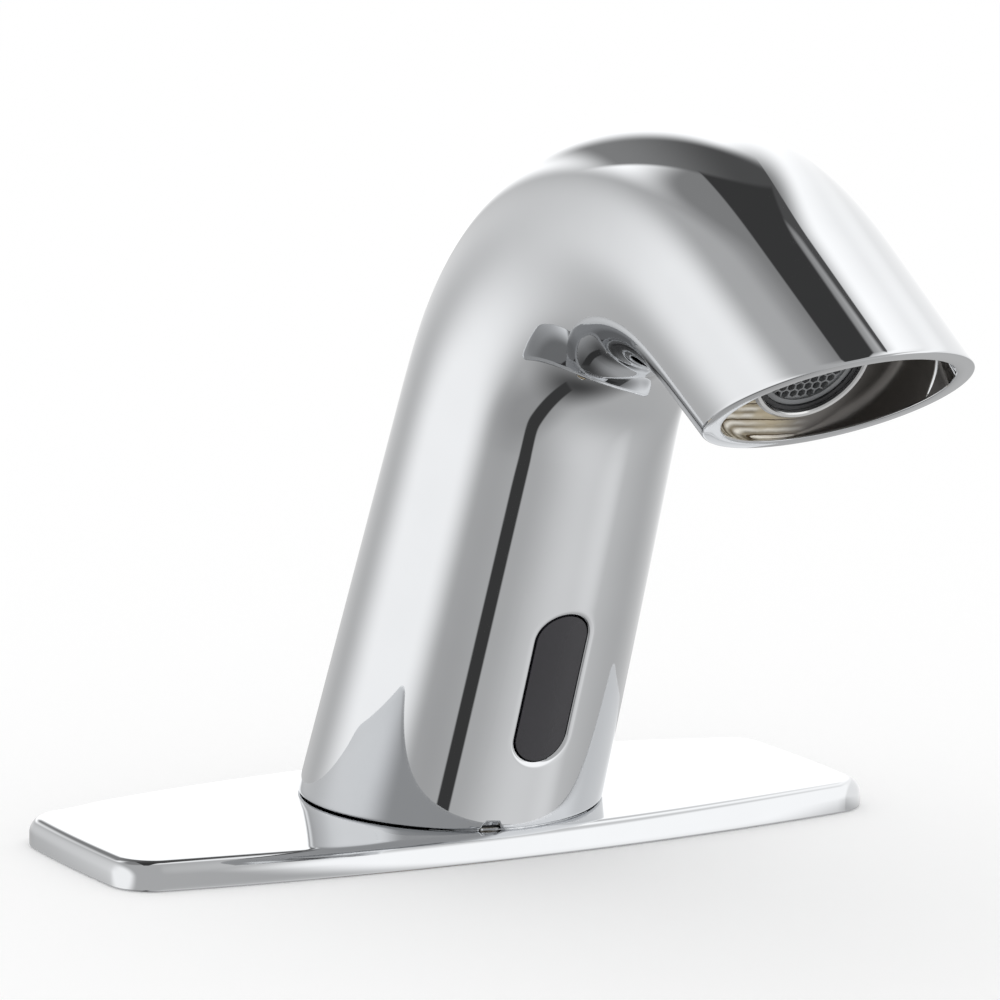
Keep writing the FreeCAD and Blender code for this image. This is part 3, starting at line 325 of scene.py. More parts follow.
def sectionRadius(station):
    # two straight tapers, foot to column top and column top to mouth
    low = body["footRadius"] + (body["columnRadius"] - body["footRadius"]) * station / body["column"]
    share = (station - body["column"]) / (mouthStation - body["column"])
    high = body["columnRadius"] + (body["mouthRadius"] - body["columnRadius"]) * share
    return np.where(station < body["column"], low, high)


def skin(station, around, inset=0.0, push=0.0):
    # a point of the body: an ellipse square to the middle line, around measured from the front;
    # inset draws the ellipse in and push moves the point straight back
    station, around = np.broadcast_arrays(station, around)
    radius = sectionRadius(station)
    x = (radius - inset) * np.sin(around)
    back = -(radius * body["depthRatio"] - inset) * np.cos(around) + push
    heading = onPath(station, pathHeading)
    y = onPath(station, pathY) + back * np.cos(heading)
    z = onPath(station, pathZ) + back * np.sin(heading)
    return np.stack([x, y, z], -1)


def stationAt(distance, around, inset, guess, reach):
    # the station where distance(point) is zero, by halving the interval
    low = np.full(around.shape, guess - reach)
    high = np.full(around.shape, guess + reach)
    for _ in range(40):
        middle = (low + high) / 2
        beyond = distance(skin(middle, around, inset)) > 0
        high = np.where(beyond, middle, high)
        low = np.where(beyond, low, middle)
    return (low + high) / 2


mouthCentre = np.array([0.0, onPath(mouthStation, pathY), onPath(mouthStation, pathZ)])
nozzleHeading = onPath(mouthStation, pathHeading)
nozzleOut = np.array([0, -np.sin(nozzleHeading), np.cos(nozzleHeading)])
nozzleUp = np.array([0, np.cos(nozzleHeading), np.sin(nozzleHeading)])
mouthNormal = np.array([0, -math.sin(body["mouthTilt"]), -math.cos(body["mouthTilt"])])


def pastMouth(point):
    return (point - mouthCentre) @ mouthNormal


def aboveHeight(height):
    return lambda point: point[..., 2] - height


def eased(corner, before, after, count):
    # a rounded corner: points of a quadratic curve from before to after, pulled towards the corner
    share = np.linspace(0, 1, count)[:, None, None]
    return (1 - share) ** 2 * before + 2 * share * (1 - share) * corner + share ** 2 * after


def nozzleRing(radius, along, around):
    # a circle round the nozzle's axis, along measured from the mouth's middle
    side = radius * np.sin(around)[:, None] * np.array([1.0, 0, 0])
    up = -radius * np.cos(around)[:, None] * nozzleUp
    return mouthCentre + along * nozzleOut + side + up


def wrapped(angle):
    # an angle from minus half a turn to half a turn
    return (angle + math.pi) % (2 * math.pi) - math.pi


def bodyColumns():
    # angles round the body from the front, closer together by the notch: equal steps of a running density
    fine = np.linspace(0, 2 * math.pi, 4000)
    fromNotch = np.abs(wrapped(fine - body["notchAngle"]))
    density = 1 + rings["crowding"] * np.exp(-(fromNotch / rings["crowdedAngle"]) ** 4)
    running = np.concatenate([[0], np.cumsum((density[1:] + density[:-1]) / 2)])
    steps = np.linspace(0, running[-1], rings["columns"], endpoint=False)
    return np.interp(steps, running, fine)


def shares(count):
    # count even steps up to 1, one to a ring
    return np.linspace(0, 1, count + 1)[1:, None]


def footRings(around):
    # the spigot in the gasket, and the foot's rounded edge, which is lifted over the notch:
    # height times a flat-topped hump of the distance along the edge
    radius, rounding = body["footRadius"], body["footRounding"]
    fromNotch = wrapped(around - body["notchAngle"]) * radius
    hump = 1 / (1 + (np.abs(fromNotch) / (body["notchWidth"] / 2)) ** body["notchSquareness"])
    edgeX, edgeY = radius * np.sin(around), -radius * np.cos(around)
    foot = body["rim"] + crown(edgeX, edgeY) + body["notchHeight"] * hump
    footStation = stationAt(aboveHeight(foot), around, 0, 0, footSearch)
    roundStation = stationAt(aboveHeight(foot + rounding), around, 0, 0, footSearch)
    corner = skin(footStation, around)
    middle = corner * [0, 0, 1]
    outward = corner - middle
    reach = np.linalg.norm(outward, axis=1)[:, None]
    inner = middle + outward * (1 - rounding / reach)
    spigotTop = middle + outward * ((body["spigot"] + body["spigotFlare"]) / reach)
    spigotFoot = outward * (body["spigot"] / reach) + [0, 0, body["foot"]]
    curve = eased(corner, inner, skin(roundStation, around), rings["footEdge"])
    return np.concatenate([[spigotFoot, spigotTop], curve]), roundStation


def outerRings(around, roundStation):
    # the skin from the foot to the rim: level rows beside the window and on the bend, slanted ones elsewhere
    gap = body["patchGap"]
    low = roundStation + (patchLow - gap - roundStation) * shares(rings["low"])
    slantStart = bendEnd + body["slantStart"]
    upper = np.linspace(patchHigh, slantStart, rings["upper"] + 1)[1:]
    level = np.concatenate([[patchLow - gap / 2], patchStations, upper])[:, None] + 0 * around
    rimStart = stationAt(lambda p: pastMouth(p) + body["rimRounding"], around, 0, mouthStation, mouthSearch)
    nozzle = slantStart + (rimStart - slantStart) * shares(rings["nozzle"])
    return skin(np.concatenate([low, level, nozzle]), around[None, :]), rimStart


def rimRings(around, rimStart):
    # the rim's rounded outer and inner edges, with the stations where the mouth's wall starts and its depth
    wall = body["wall"]
    innerStation = stationAt(pastMouth, around, wall, mouthStation, mouthSearch)
    outer = skin(stationAt(pastMouth, around, 0, mouthStation, mouthSearch), around)
    inner = skin(innerStation, around, wall)
    across = inner - outer
    across = across / np.linalg.norm(across, axis=1)[:, None]
    outerCurve = eased(outer, skin(rimStart, around), outer + across * body["rimRounding"], rings["rimEdge"])
    depth = np.maximum(innerStation - partitionStation, mouth["leastDepth"])
    lip = np.minimum(mouth["lip"], depth * mouth["lipShare"])
    lipEnd = innerStation - lip
    innerCurve = eased(inner, inner - across * lip[:, None], skin(lipEnd, around, wall), rings["rimEdge"])
    return outerCurve[1:], innerCurve, lipEnd, depth


def mouthRings(around, lipEnd, depth):
    # the machined wall down to a small ledge; the casting below it, a round corner and the partition's face
    wall = body["wall"]
    ledge = np.minimum(mouthStation + mouth["ledge"], lipEnd - mouth["leastMachined"])
    ledge = np.maximum(ledge, partitionStation + mouth["leastCast"] * depth)
    step = mouth["ledgeDepth"] * np.clip((lipEnd - mouthStation - mouth["ledge"]) / mouth["ledgeFade"], 0, 1)
    machined = skin(lipEnd + (ledge - lipEnd) * shares(rings["machined"]), around[None, :], wall)
    fillet = np.minimum(aerator["fillet"], (ledge - partitionStation) * mouth["filletShare"])
    filletStart = partitionStation + fillet
    below = ledge - np.minimum(mouth["ledgeDrop"], (ledge - filletStart) * mouth["dropShare"])
    share = np.linspace(0, 1, rings["cast"])[:, None]
    raw = skin(below + (filletStart - below) * share, around[None, :], wall + step)
    corner = skin(partitionStation + 0 * around, around, wall + step)
    bore = nozzleRing(aerator["radius"] + aerator["slip"], aerator["partitionFront"], around)
    inward = bore - corner
    inward = inward / np.linalg.norm(inward, axis=1)[:, None]
    faceStart = corner + inward * fillet[:, None]
    cornerCurve = eased(corner, raw[-1], faceStart, rings["fillet"])[1:]
    face = faceStart + (bore - faceStart) * shares(rings["partition"])[:-1, :, None]
    return machined, np.concatenate([raw, cornerCurve, face])


def boreRings(around):
    # the aerator's bore in the partition, with its chamfer, and the boss behind it
    bore, tail = aerator["radius"] + aerator["slip"], aerator["tailRadius"] + aerator["slip"]
    front = aerator["partitionFront"]
    profile = [(bore + aerator["chamferWidth"], front), (bore, front - aerator["chamferDepth"]),
               (bore, aerator["seat"]), (tail, aerator["seat"]), (tail, aerator["bossBack"]),
               (aerator["bossRadius"], aerator["bossBack"]),
               (aerator["bossRadius"], aerator["partitionBack"])]
    return np.array([nozzleRing(radius, along, around) for radius, along in profile])


def hollowRings(around):
    # the inside from the partition back to the shelf, with rows behind the window like those of the skin
    start = mouthStation + aerator["partitionBack"]
    stations = np.concatenate([np.linspace(start, hollowPatch[0], rings["hollow"]), hollowPatch[1:],
                               [shelf["station"]]])
    return skin(stations[:, None], around[None, :], body["wall"])


def shelfRings(around):
    # the shelf's hole, which cuts the leaning shelf upright, and the recess for the flange
    circle = np.stack([np.sin(around), -np.cos(around), 0 * around], -1)
    hole, recess = circle * shelf["hole"], circle * shelf["recess"]
    level = body["seat"] + shelf["station"] / math.cos(body["lean"]) + hole[:, 1] * math.tan(body["lean"])
    up = np.array([0.0, 0.0, 1.0])
    return np.array([hole + level[:, None] * up, hole + up * shelf["recessTop"],
                     recess + up * shelf["recessTop"], recess + up * body["foot"]])


def gridQuads(rows, columns):
    # cells between rings of equal count, joined in order and the last to the first
    i, j = np.arange(rows)[:, None], np.arange(columns)[None, :]
    nextRow, nextColumn = (i + 1) % rows, (j + 1) % columns
    return np.stack([i * columns + j, i * columns + nextColumn,
                     nextRow * columns + nextColumn, nextRow * columns + j], -1)


def makeBodyShell(chrome, cast):
    around = bodyColumns()
    foot, roundStation = footRings(around)
    outer, rimStart = outerRings(around, roundStation)
    outerCurve, innerCurve, lipEnd, depth = rimRings(around, rimStart)
    machined, casting = mouthRings(around, lipEnd, depth)
    bright = np.concatenate([foot, outer, outerCurve, innerCurve, machined])
    dull = np.concatenate([casting, boreRings(around)])
    grid = np.concatenate([bright, dull, hollowRings(around), shelfRings(around)])
    rows, columns = grid.shape[:2]
    points = grid.reshape(-1, 3)
    i, j = np.arange(rows)[:, None], np.arange(columns)[None, :]
    slots = np.where(i < len(bright), 0, 1) + 0 * j

    # the window's opening: cells out on both skins, and rings that close in on a stadium in their place
    patchRows = rings["patch"]
    right = int((around < body["patchAngle"]).sum())
    left = int((around > 2 * math.pi - body["patchAngle"]).sum())
    outerRow = len(foot) + rings["low"] + 1
    innerRow = len(bright) + len(dull) + rings["hollow"] - 1
    nearFront = (j < right) | (j >= columns - left)
    outerRows = (i >= outerRow) & (i < outerRow + patchRows)
    innerRows = (i >= innerRow) & (i < innerRow + patchRows)
    keep = ~((outerRows | innerRows) & nearFront)
    loopRow, loopColumn = rectangleLoop(patchRows, left, right)
    outerLoop = (outerRow + loopRow) * columns + loopColumn % columns
    innerLoop = (innerRow + patchRows - loopRow) * columns + loopColumn % columns
    patch, patchQuads, patchSlots = windowPatch(points, outerLoop, innerLoop, loopRow)
    quads = facingOut(points, gridQuads(rows, columns)[keep])
    sameWay = (quads == outerLoop[0]) & (np.roll(quads, -1, 1) == outerLoop[1])
    if sameWay.any():
        patchQuads = patchQuads[:, ::-1]
    return meshFromQuads("bodyShell", np.concatenate([points, patch]), np.concatenate([quads, patchQuads]),
                         [chrome, cast], np.concatenate([slots[keep], patchSlots]))


def rectangleLoop(rows, left, right):
    # rows and columns of the vertices round a rectangle of cells, in order
    up = np.arange(rows)
    side = np.arange(-left, right)
    loopRow = np.concatenate([0 * side, up, 0 * side + rows, rows - up])
    loopColumn = np.concatenate([side, 0 * up + right, right - left - side, 0 * up - left])
    return loopRow, loopColumn


def windowPatch(points, outerLoop, innerLoop, loopRow):
    # rings from the skin's loop to the opening's rolled edge, through the wall and out to the hollow's loop
    roll, wall = body["windowRoll"], body["wall"]
    flat = np.stack([points[outerLoop, 0], patchStations[loopRow]], -1)
    far, edge = stadiumPoint(flat, roll), stadiumPoint(flat, 0)
    share = np.linspace(0, 1, rings["outerPatch"] + 2)[1:-1, None, None] ** rings["outerPatchPower"]
    outerPatch = frontPoint(flat + (far - flat) * share, 0, 0)
    rollCurve = eased(frontPoint(edge, 0, 0), frontPoint(far, 0, 0), frontPoint(edge, 0, roll),
                      rings["windowEdge"])
    flat = np.stack([points[innerLoop, 0], hollowPatch[rings["patch"] - loopRow]], -1)
    edge = stadiumPoint(flat, 0)
    share = np.linspace(1, 0, rings["innerPatch"] + 2)[1:-1, None, None]
    innerPatch = frontPoint(flat + (edge - flat) * share, wall, 0)
    patch = np.concatenate([outerPatch, rollCurve, frontPoint(edge, wall, 0)[None], innerPatch])
    count = len(loopRow)
    index = len(points) + np.arange(len(patch))[:, None] * count + np.arange(count)
    index = np.concatenate([outerLoop[None], index, innerLoop[None]])
    here, there = index[:-1], index[1:]
    quads = np.stack([here, np.roll(here, -1, 1), np.roll(there, -1, 1), there], -1)
    shining = len(outerPatch) + len(rollCurve)
    slots = np.where(np.arange(len(here)) < shining, 0, 1)[:, None] + 0 * here
    return patch.reshape(-1, 3), quads.reshape(-1, 4), slots.reshape(-1)


def stadiumPoint(flat, offset):
    # the nearest point of a round-ended slot's outline, moved out by an offset
    reach = (body["windowLength"] - body["windowWidth"]) / 2
    middle = np.clip(flat[..., 1], body["windowStation"] - reach, body["windowStation"] + reach)
    spine = np.stack([0 * middle, middle], -1)
    away = flat - spine
    away = away / np.linalg.norm(away, axis=-1, keepdims=True)
    return spine + away * (body["windowWidth"] / 2 + offset)


def frontPoint(flat, inset, push):
    # a point of the column's front from its X and its station
    x, station = flat[..., 0], flat[..., 1]
    around = np.arcsin(np.clip(x / (sectionRadius(station) - inset), -1, 1))
    return skin(station, around, inset, push)


def plateOutline(inset):
    # bowed sides, bowed ends and round corners, each arc drawn in by an inset
    a, b = plate["length"] / 2, plate["width"] / 2
    sideHalf = b - plate["sideBow"]
    sideRadius = (a * a + plate["sideBow"] ** 2) / (2 * plate["sideBow"])
    endRadius = (sideHalf ** 2 + plate["endBow"] ** 2) / (2 * plate["endBow"])
    sideCentre = np.array([0, b - sideRadius])
    endCentre = np.array([a - endRadius, 0])
    # the corner's centre is where circles inside both arcs cross
    p, q = sideRadius - plate["cornerRadius"], endRadius - plate["cornerRadius"]
    gap = endCentre - sideCentre
    distance = np.linalg.norm(gap)
    along = (p * p - q * q + distance ** 2) / (2 * distance)
    across = math.sqrt(p * p - along * along)
    unit = gap / distance
    normal = np.array([-unit[1], unit[0]])
    options = [sideCentre + along * unit + sign * across * normal for sign in (-1, 1)]
    corner = max(options, key=lambda c: c.sum())
    sideAngle = math.atan2(*(corner - sideCentre)[::-1])
    endAngle = math.atan2(*(corner - endCentre)[::-1])
    arcs = [(sideCentre, sideRadius, math.pi / 2, sideAngle, plate["sidePoints"]),
            (corner, plate["cornerRadius"], sideAngle, endAngle, plate["cornerPoints"]),
            (endCentre, endRadius, endAngle, 0.0, plate["endPoints"])]
    quarter = []
    for centre, radius, start, end, count in arcs:
        angle = np.linspace(start, end, count, endpoint=False)
        quarter.append(centre + (radius - inset) * np.stack([np.cos(angle), np.sin(angle)], -1))
    quarter = np.concatenate(quarter)
    tip = np.array([[a - inset, 0.0]])
    right = np.concatenate([quarter, tip, quarter[:0:-1] * [1, -1]])
    whole = np.concatenate([right, -right])
    # the back corners are a little rounder: drawn in by an eased share of the distance past a line
    drawn = np.clip((np.abs(whole[:, 0]) - plate["backFrom"]) / plate["backOver"], 0, 1)
    drawn = drawn ** 2 * (3 - 2 * drawn) * np.clip(whole[:, 1] / plate["backHalf"], 0, 1)
    whole[:, 1] -= plate["backCorner"] * drawn
    return whole


def atHeight(outline, height, crowned=0.0):
    # the outline at a height, lifted by a share of the crown
    lift = height + crowned * crown(outline[:, 0], outline[:, 1])
    return np.concatenate([outline, lift[:, None]], -1)


def makeDeckPlate(chrome):
    r, top, wall = plate["rounding"], plate["height"], plate["wall"]
    outline, flat = plateOutline(0), plateOutline(r)
    # the rings round the hole and the seat have one point for each of the outline's
    turn = np.arctan2(outline[:, 1], outline[:, 0])
    circle = np.stack([np.cos(turn), np.sin(turn)], -1)
    hole, seat = circle * plate["hole"], circle * plate["seat"]
    steps = [atHeight(hole, top), atHeight(seat - circle * 0.1, top), atHeight(seat, top + 0.05, 0.9)]
    outward = np.minimum((np.linalg.norm(flat, axis=1) - plate["seat"]) * 0.3, 0.3)[:, None]
    first = seat + circle * outward
    for share in np.linspace(0, 1, plate["rings"]):
        steps.append(atHeight(first + (flat - first) * share, top, 1.0))
    for angle in np.linspace(0, math.pi / 2, plate["rings"])[1:]:
        level = top - r + r * math.cos(angle)
        steps.append(atHeight(plateOutline(r - r * math.sin(angle)), level, level / top))
    # a small chamfer at the bottom, and the hollow underneath
    chamfer = plate["chamfer"]
    middle = 0.3 * chamfer
    for inset, level in [(0, chamfer), (middle, middle), (chamfer, 0.0), (wall, 0.0), (wall, top - wall)]:
        steps.append(atHeight(plateOutline(inset), level))
    steps.append(atHeight(hole, top - wall))
    return ringSolid("deckPlate", np.array(steps), chrome)


def ringSolid(name, grid, material):
    # rings of equal count, joined in order and the last to the first
    points = grid.reshape(-1, 3)
    quads = gridQuads(*grid.shape[:2]).reshape(-1, 4)
    return meshFromQuads(name, points, facingOut(points, quads), [material])


shank = {
    "radius": 13.2,
    "bore": 11.0,
    "tail": -60.0,
    "head": 12.5,
    "chamfer": 0.3,
    "threadTop": -2.0,
    "pitch": 1.8,
    "depth": 1.1,
    "runIn": 1.5,           # length over which the thread starts at the tail
    "runOut": 2.0,          # and ends at its top
    "sides": 96,
    "rings": 325,
}


def makeShank(brass):
    # thread: the radius follows a flattened triangle wave of height less turn times pitch
    bore, tail, head, chamfer = shank["bore"], shank["tail"], shank["head"], shank["chamfer"]
    turn = np.linspace(0, 2 * math.pi, shank["sides"], endpoint=False)
    threaded = np.linspace(tail, shank["threadTop"], shank["rings"])
    z = np.concatenate([threaded, [-1.0, 3.0, head - chamfer]])
    phase = (z[:, None] / shank["pitch"] - turn / (2 * math.pi)) % 1
    wave = np.clip(np.abs(phase * 2 - 1) * 1.5 - 0.25, 0, 1)
    start = (z - tail) / shank["runIn"]
    cut = np.clip(start, 0.2, 1) * np.clip((shank["threadTop"] - z) / shank["runOut"], 0, 1)
    bare = (1 - np.clip(start, 0, 1))[:, None] * (1 - wave) * 0.8
    radius = shank["radius"] - shank["depth"] * (wave * cut[:, None] + bare)
    ends = [(shank["radius"] - chamfer, head), (bore + chamfer, head), (bore, head - chamfer), (bore, 0.0),
            (bore, tail + chamfer), (bore + chamfer, tail)]
    radius = np.concatenate([radius, np.array([[r] for r, _ in ends]) + 0 * turn])
    height = np.concatenate([z, [h for _, h in ends]])[:, None] + 0 * turn
    grid = np.stack([radius * np.sin(turn), -radius * np.cos(turn), height], -1)
    return ringSolid("mountingShank", grid, brass)


def tinted(level, tint):
    return tuple(level * share for share in tint) + (1,)


def clouds(scale, dark, light):
    # two shades in soft clouds
    return lambda g: g.blend(g.smooth(g.noise(scale, 4.0), 0.3, 0.7), (*dark, 1), (*light, 1))


def makeChrome(name, level, tint, roughness):
    # mirror chrome over a polished casting: faint clouds of wear and the slight waves of hand polishing
    return principled(
        name, Metallic=1.0,
        Base_Color=lambda g: g.blend(
            g.noise(90.0, 4.0), tinted(level - 0.015, tint), tinted(level + 0.015, tint)),
        Roughness=lambda g: g.smooth(g.noise(260.0, 5.0), 0.35, 0.7, roughness - 0.01, roughness + 0.02),
        Normal=lambda g: g.bump(g.noise(42.0, 1.0), 0.02, 0.0004))


def alongNozzle(graph):
    # across, up and along the nozzle from the mouth's middle, in millimetres
    place = graph.vector("SUBTRACT", graph.place(), Vector(mouthCentre) * mm)
    axes = [(1.0, 0.0, 0.0), nozzleUp, nozzleOut]
    return [graph.vector("DOT_PRODUCT", place, Vector(axis) / mm) for axis in axes]


def makeMouthCast():
    # sand-cast brass in the mouth: whitish curved strata and dark seams at the left; the right side is
    # painted dull and dark as shade
    material = bpy.data.materials.new("mouthCasting")
    graph = Graph(material)
    across, up, along = alongNozzle(graph)
    fine = graph.noise(1100.0, 6.0, 0.65)
    wide = graph.noise(120.0, 2.0)
    # the left side, where the strata show, against the right side, which is painted dark as shade
    litSide = graph.smooth(across + (wide - 0.5) * 5, 5.5, -2.5)
    layer = (along + up) * 4.0 + across * 0.3 + (wide - 0.5) * 5.0 + fine * 1.4
    wave = layer.math("SINE") * 0.5 + 0.5
    seam = graph.smooth((layer * 0.45).math("SINE"), 0.965, 0.995)
    strata = graph.blend(wave, (0.32, 0.28, 0.21, 1), (0.84, 0.81, 0.74, 1))
    stained = graph.blend(graph.smooth(wide, 0.45, 0.6), strata, (0.56, 0.49, 0.36, 1))
    broken = graph.blend(seam, stained, (0.10, 0.07, 0.04, 1))
    # painted shade: the right side takes a flat dark grey in place of the strata
    colour = graph.blend(litSide, (0.19, 0.18, 0.17, 1), broken)
    height = litSide * (wave * 0.4 + fine * 0.4) - seam * 0.8 * litSide
    graph.finishSurface(graph.node("ShaderNodeBsdfPrincipled", None, {
        "Base Color": colour, "Metallic": 1.0, "Roughness": 0.42 + litSide * 0.1,
        "Normal": graph.bump(height, 0.5, 0.00025)}))
    return material


def moulded(name, dark, light, roughness, grain, depth=0.00004):
    # a moulded plastic or rubber: two close shades in clouds, and a fine grain
    return principled(
        name, Base_Color=clouds(120.0, dark, light),
        Roughness=lambda g: g.smooth(g.noise(grain * 0.4, 3.0), 0.3, 0.7, roughness - 0.06, roughness + 0.06),
        Normal=lambda g: g.bump(g.noise(grain, 2.0), 0.35, depth))


def turned(name, dark, light, roughness, marks):
    # metal turned on a lathe: shades in clouds, tool marks as noise squeezed along the axis
    return principled(
        name, Metallic=1.0,
        Base_Color=lambda g: g.blend(g.smooth(g.noise(150.0, 5.0), 0.3, 0.72), (*dark, 1), (*light, 1)),
        Roughness=lambda g: g.smooth(g.noise(300.0, 4.0), 0.3, 0.7, roughness - 0.06, roughness + 0.08),
        Normal=lambda g: g.bump(g.noise(marks, 2.0, 0.5, (1, 1, 40)), 0.5, 0.00003))


columnAxis = (0.0, -math.sin(body["lean"]), math.cos(body["lean"]))
wirePitch = 0.32


def makeWinding():
    # enamelled copper wire: one ridge for each turn, along the coil's leaning axis; its colour is painted
    # lighter on the crests as highlight and darker between the turns as shade
    material = bpy.data.materials.new("copperWire")
    graph = Graph(material)
    along = graph.vector("DOT_PRODUCT", graph.place(), Vector(columnAxis) / mm)
    ridge = (along * (2 * math.pi / wirePitch)).math("SINE") * 0.5 + 0.5
    shade = graph.noise(200.0, 3.0, 0.5, (1, 1, 12))
    # painted light and shade: each turn lighter at its crest and darker in the groove, with random tone
    colour = graph.blend(ridge * 0.6 + shade * 0.4, (0.30, 0.07, 0.02, 1), (0.85, 0.38, 0.16, 1))
    graph.finishSurface(graph.node("ShaderNodeBsdfPrincipled", None, {
        "Base Color": colour, "Metallic": 1.0, "Roughness": 0.22 + shade * 0.15, "Coat Weight": 0.4,
        "Normal": graph.bump(ridge, 0.8, 0.0001)}))
    return material


def makeLaminate():
    # glass cloth under green solder resist, with tracks that show as slight ridges
    material = bpy.data.materials.new("boardLaminate")
    graph = Graph(material)
    place = graph.place()
    weave = graph.node("ShaderNodeTexWave", {"bands_direction": "X"},
                       {"Vector": place, "Scale": 500.0, "Distortion": 1.0, "Detail": 1.0}, out=1)
    weft = graph.node("ShaderNodeTexWave", {"bands_direction": "Z"},
                      {"Vector": place, "Scale": 500.0, "Distortion": 1.0, "Detail": 1.0}, out=1)
    tracks = graph.node("ShaderNodeTexBrick", {"offset": 0.37, "squash": 1.6},
                        {"Vector": place, "Scale": 260.0, "Mortar Size": 0.06}, out=1)
    cloth = weave * weft
    green = graph.blend(cloth * 0.5 + 0.2, (0.006, 0.045, 0.016, 1), (0.016, 0.11, 0.04, 1))
    colour = graph.blend(tracks * 0.6, green, (0.03, 0.20, 0.06, 1))
    graph.finishSurface(graph.node("ShaderNodeBsdfPrincipled", None, {
        "Base Color": colour, "Roughness": 0.3 + cloth * 0.1, "Coat Weight": 0.3,
        "Normal": graph.bump(tracks + cloth * 0.2, 0.5, 0.00003)}))
    return material


def makeFoam():
    # closed-cell foam: cells as domes, painted light at their middles and painted shade at the walls between
    # them
    material = bpy.data.materials.new("closedCellFoam")
    graph = Graph(material)
    cells = graph.node("ShaderNodeTexVoronoi", {"feature": "F1"}, {"Vector": graph.place(), "Scale": 1400.0})
    tone = graph.noise(200.0, 3.0)
    # painted light and shade: lighter at each cell's middle, darker towards its walls, with random tone
    colour = graph.blend(cells * 0.8 + tone * 0.2, (0.20, 0.20, 0.21, 1), (0.07, 0.07, 0.075, 1))
    graph.finishSurface(graph.node("ShaderNodeBsdfPrincipled", None, {
        "Base Color": colour, "Roughness": 0.9,
        "Normal": graph.bump(1 - cells, 0.7, 0.0002)}))
    return material


def makeUnionBrass(pitch, centreY, top, depth):
    # turned brass whose lower end has a rolled thread: height less turn times pitch, as a triangle wave, with
    # painted shade in its grooves
    material = bpy.data.materials.new("unionBrass")
    graph = Graph(material)
    place = graph.vector("SUBTRACT", graph.place(), (0.0, centreY * mm, 0.0))
    x = graph.vector("DOT_PRODUCT", place, (1 / mm, 0, 0))
    y = graph.vector("DOT_PRODUCT", place, (0, 1 / mm, 0))
    z = graph.vector("DOT_PRODUCT", place, (0, 0, 1 / mm))
    turn = x.math("ARCTAN2", y) / (2 * math.pi)
    ridge = ((z / pitch - turn).math("FRACT") * 2 - 1).math("ABSOLUTE")
    threaded = graph.smooth(z, top, top - 0.4)
    shade = graph.noise(220.0, 4.0)
    # painted shade: the thread's grooves darker than its crests, with random tone from the noise
    grooveShadeAndTone = threaded * (1 - ridge) * 0.6 + shade * 0.3
    colour = graph.blend(grooveShadeAndTone, (0.80, 0.80, 0.78, 1), (0.30, 0.29, 0.27, 1))
    graph.finishSurface(graph.node("ShaderNodeBsdfPrincipled", None, {
        "Base Color": colour, "Metallic": 1.0, "Roughness": 0.16 + shade * 0.12,
        "Normal": graph.bump(threaded * ridge, 1.0, depth * mm)}))
    return material


chromeTint = (0.985, 1.0, 1.02)
chromeLevel = 0.66          # the share of light that the chrome gives back
chrome = makeChrome("polishedChrome", chromeLevel, chromeTint, 0.02)
mouthCast = makeMouthCast()
finishes = {
    "chrome_body": chrome,
    "dark_glass": principled(
        "sensorWindow", Base_Color=lambda g: g.blend(
            g.noise(60.0, 2.0), (0.014, 0.013, 0.017, 1), (0.020, 0.019, 0.024, 1)),
        Roughness=lambda g: g.smooth(g.noise(400.0, 4.0), 0.35, 0.7, 0.16, 0.22),
        Normal=lambda g: g.bump(g.noise(900.0, 2.0), 0.04, 0.00002)),
    "black_rubber": moulded("blackRubber", (0.007, 0.007, 0.008), (0.016, 0.016, 0.017), 0.62, 1500.0),
    "grey_foam": makeFoam(),
    "grey_plastic": moulded("greyPlastic", (0.155, 0.16, 0.165), (0.20, 0.205, 0.21), 0.38, 2200.0),
    "raw_brass": turned("turnedBrass", (0.58, 0.40, 0.17), (0.78, 0.58, 0.29), 0.28, 30.0),
    "plated_brass": turned("platedBrass", (0.56, 0.56, 0.56), (0.70, 0.70, 0.69), 0.14, 30.0),
    "stainless_steel": turned("stainlessSteel", (0.46, 0.46, 0.45), (0.60, 0.59, 0.57), 0.26, 40.0),
    "white_acetal": moulded("whiteAcetal", (0.74, 0.73, 0.69), (0.82, 0.81, 0.78), 0.34, 1800.0),
    "black_plastic": moulded("blackPlastic", (0.014, 0.014, 0.015), (0.026, 0.026, 0.028), 0.42, 2400.0),
    "copper_winding": makeWinding(),
    "zinc_steel": turned("zincSteel", (0.45, 0.47, 0.50), (0.64, 0.64, 0.60), 0.3, 60.0),
    "green_laminate": makeLaminate(),
    "smoked_lens": moulded("smokedResin", (0.020, 0.008, 0.022), (0.045, 0.016, 0.045), 0.12, 700.0, 0.00001),
    "black_lead": moulded("blackLead", (0.012, 0.012, 0.013), (0.028, 0.028, 0.030), 0.48, 1700.0),
}
special = {"inlet_union": makeUnionBrass(pitch=1.5, centreY=4.6, top=-88.0, depth=0.7)}
print("materials made,", len(finishes) + len(special) + 1)

for name, piece in nodes.items():
    slotName = piece.material_slots[0].name.split(".")[0]
    piece.data.materials[0] = special.get(name, finishes[slotName])

pieces = {
    "body_shell": (makeBodyShell(chrome, mouthCast), "chrome_body"),
    "deck_plate": (makeDeckPlate(chrome), "chrome_body"),
    "mounting_shank": (makeShank(finishes["raw_brass"]), "raw_brass"),
}
for node, (piece, slotName) in pieces.items():
    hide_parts(node)
    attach(piece, "tap")
print("body, plate and shank made")


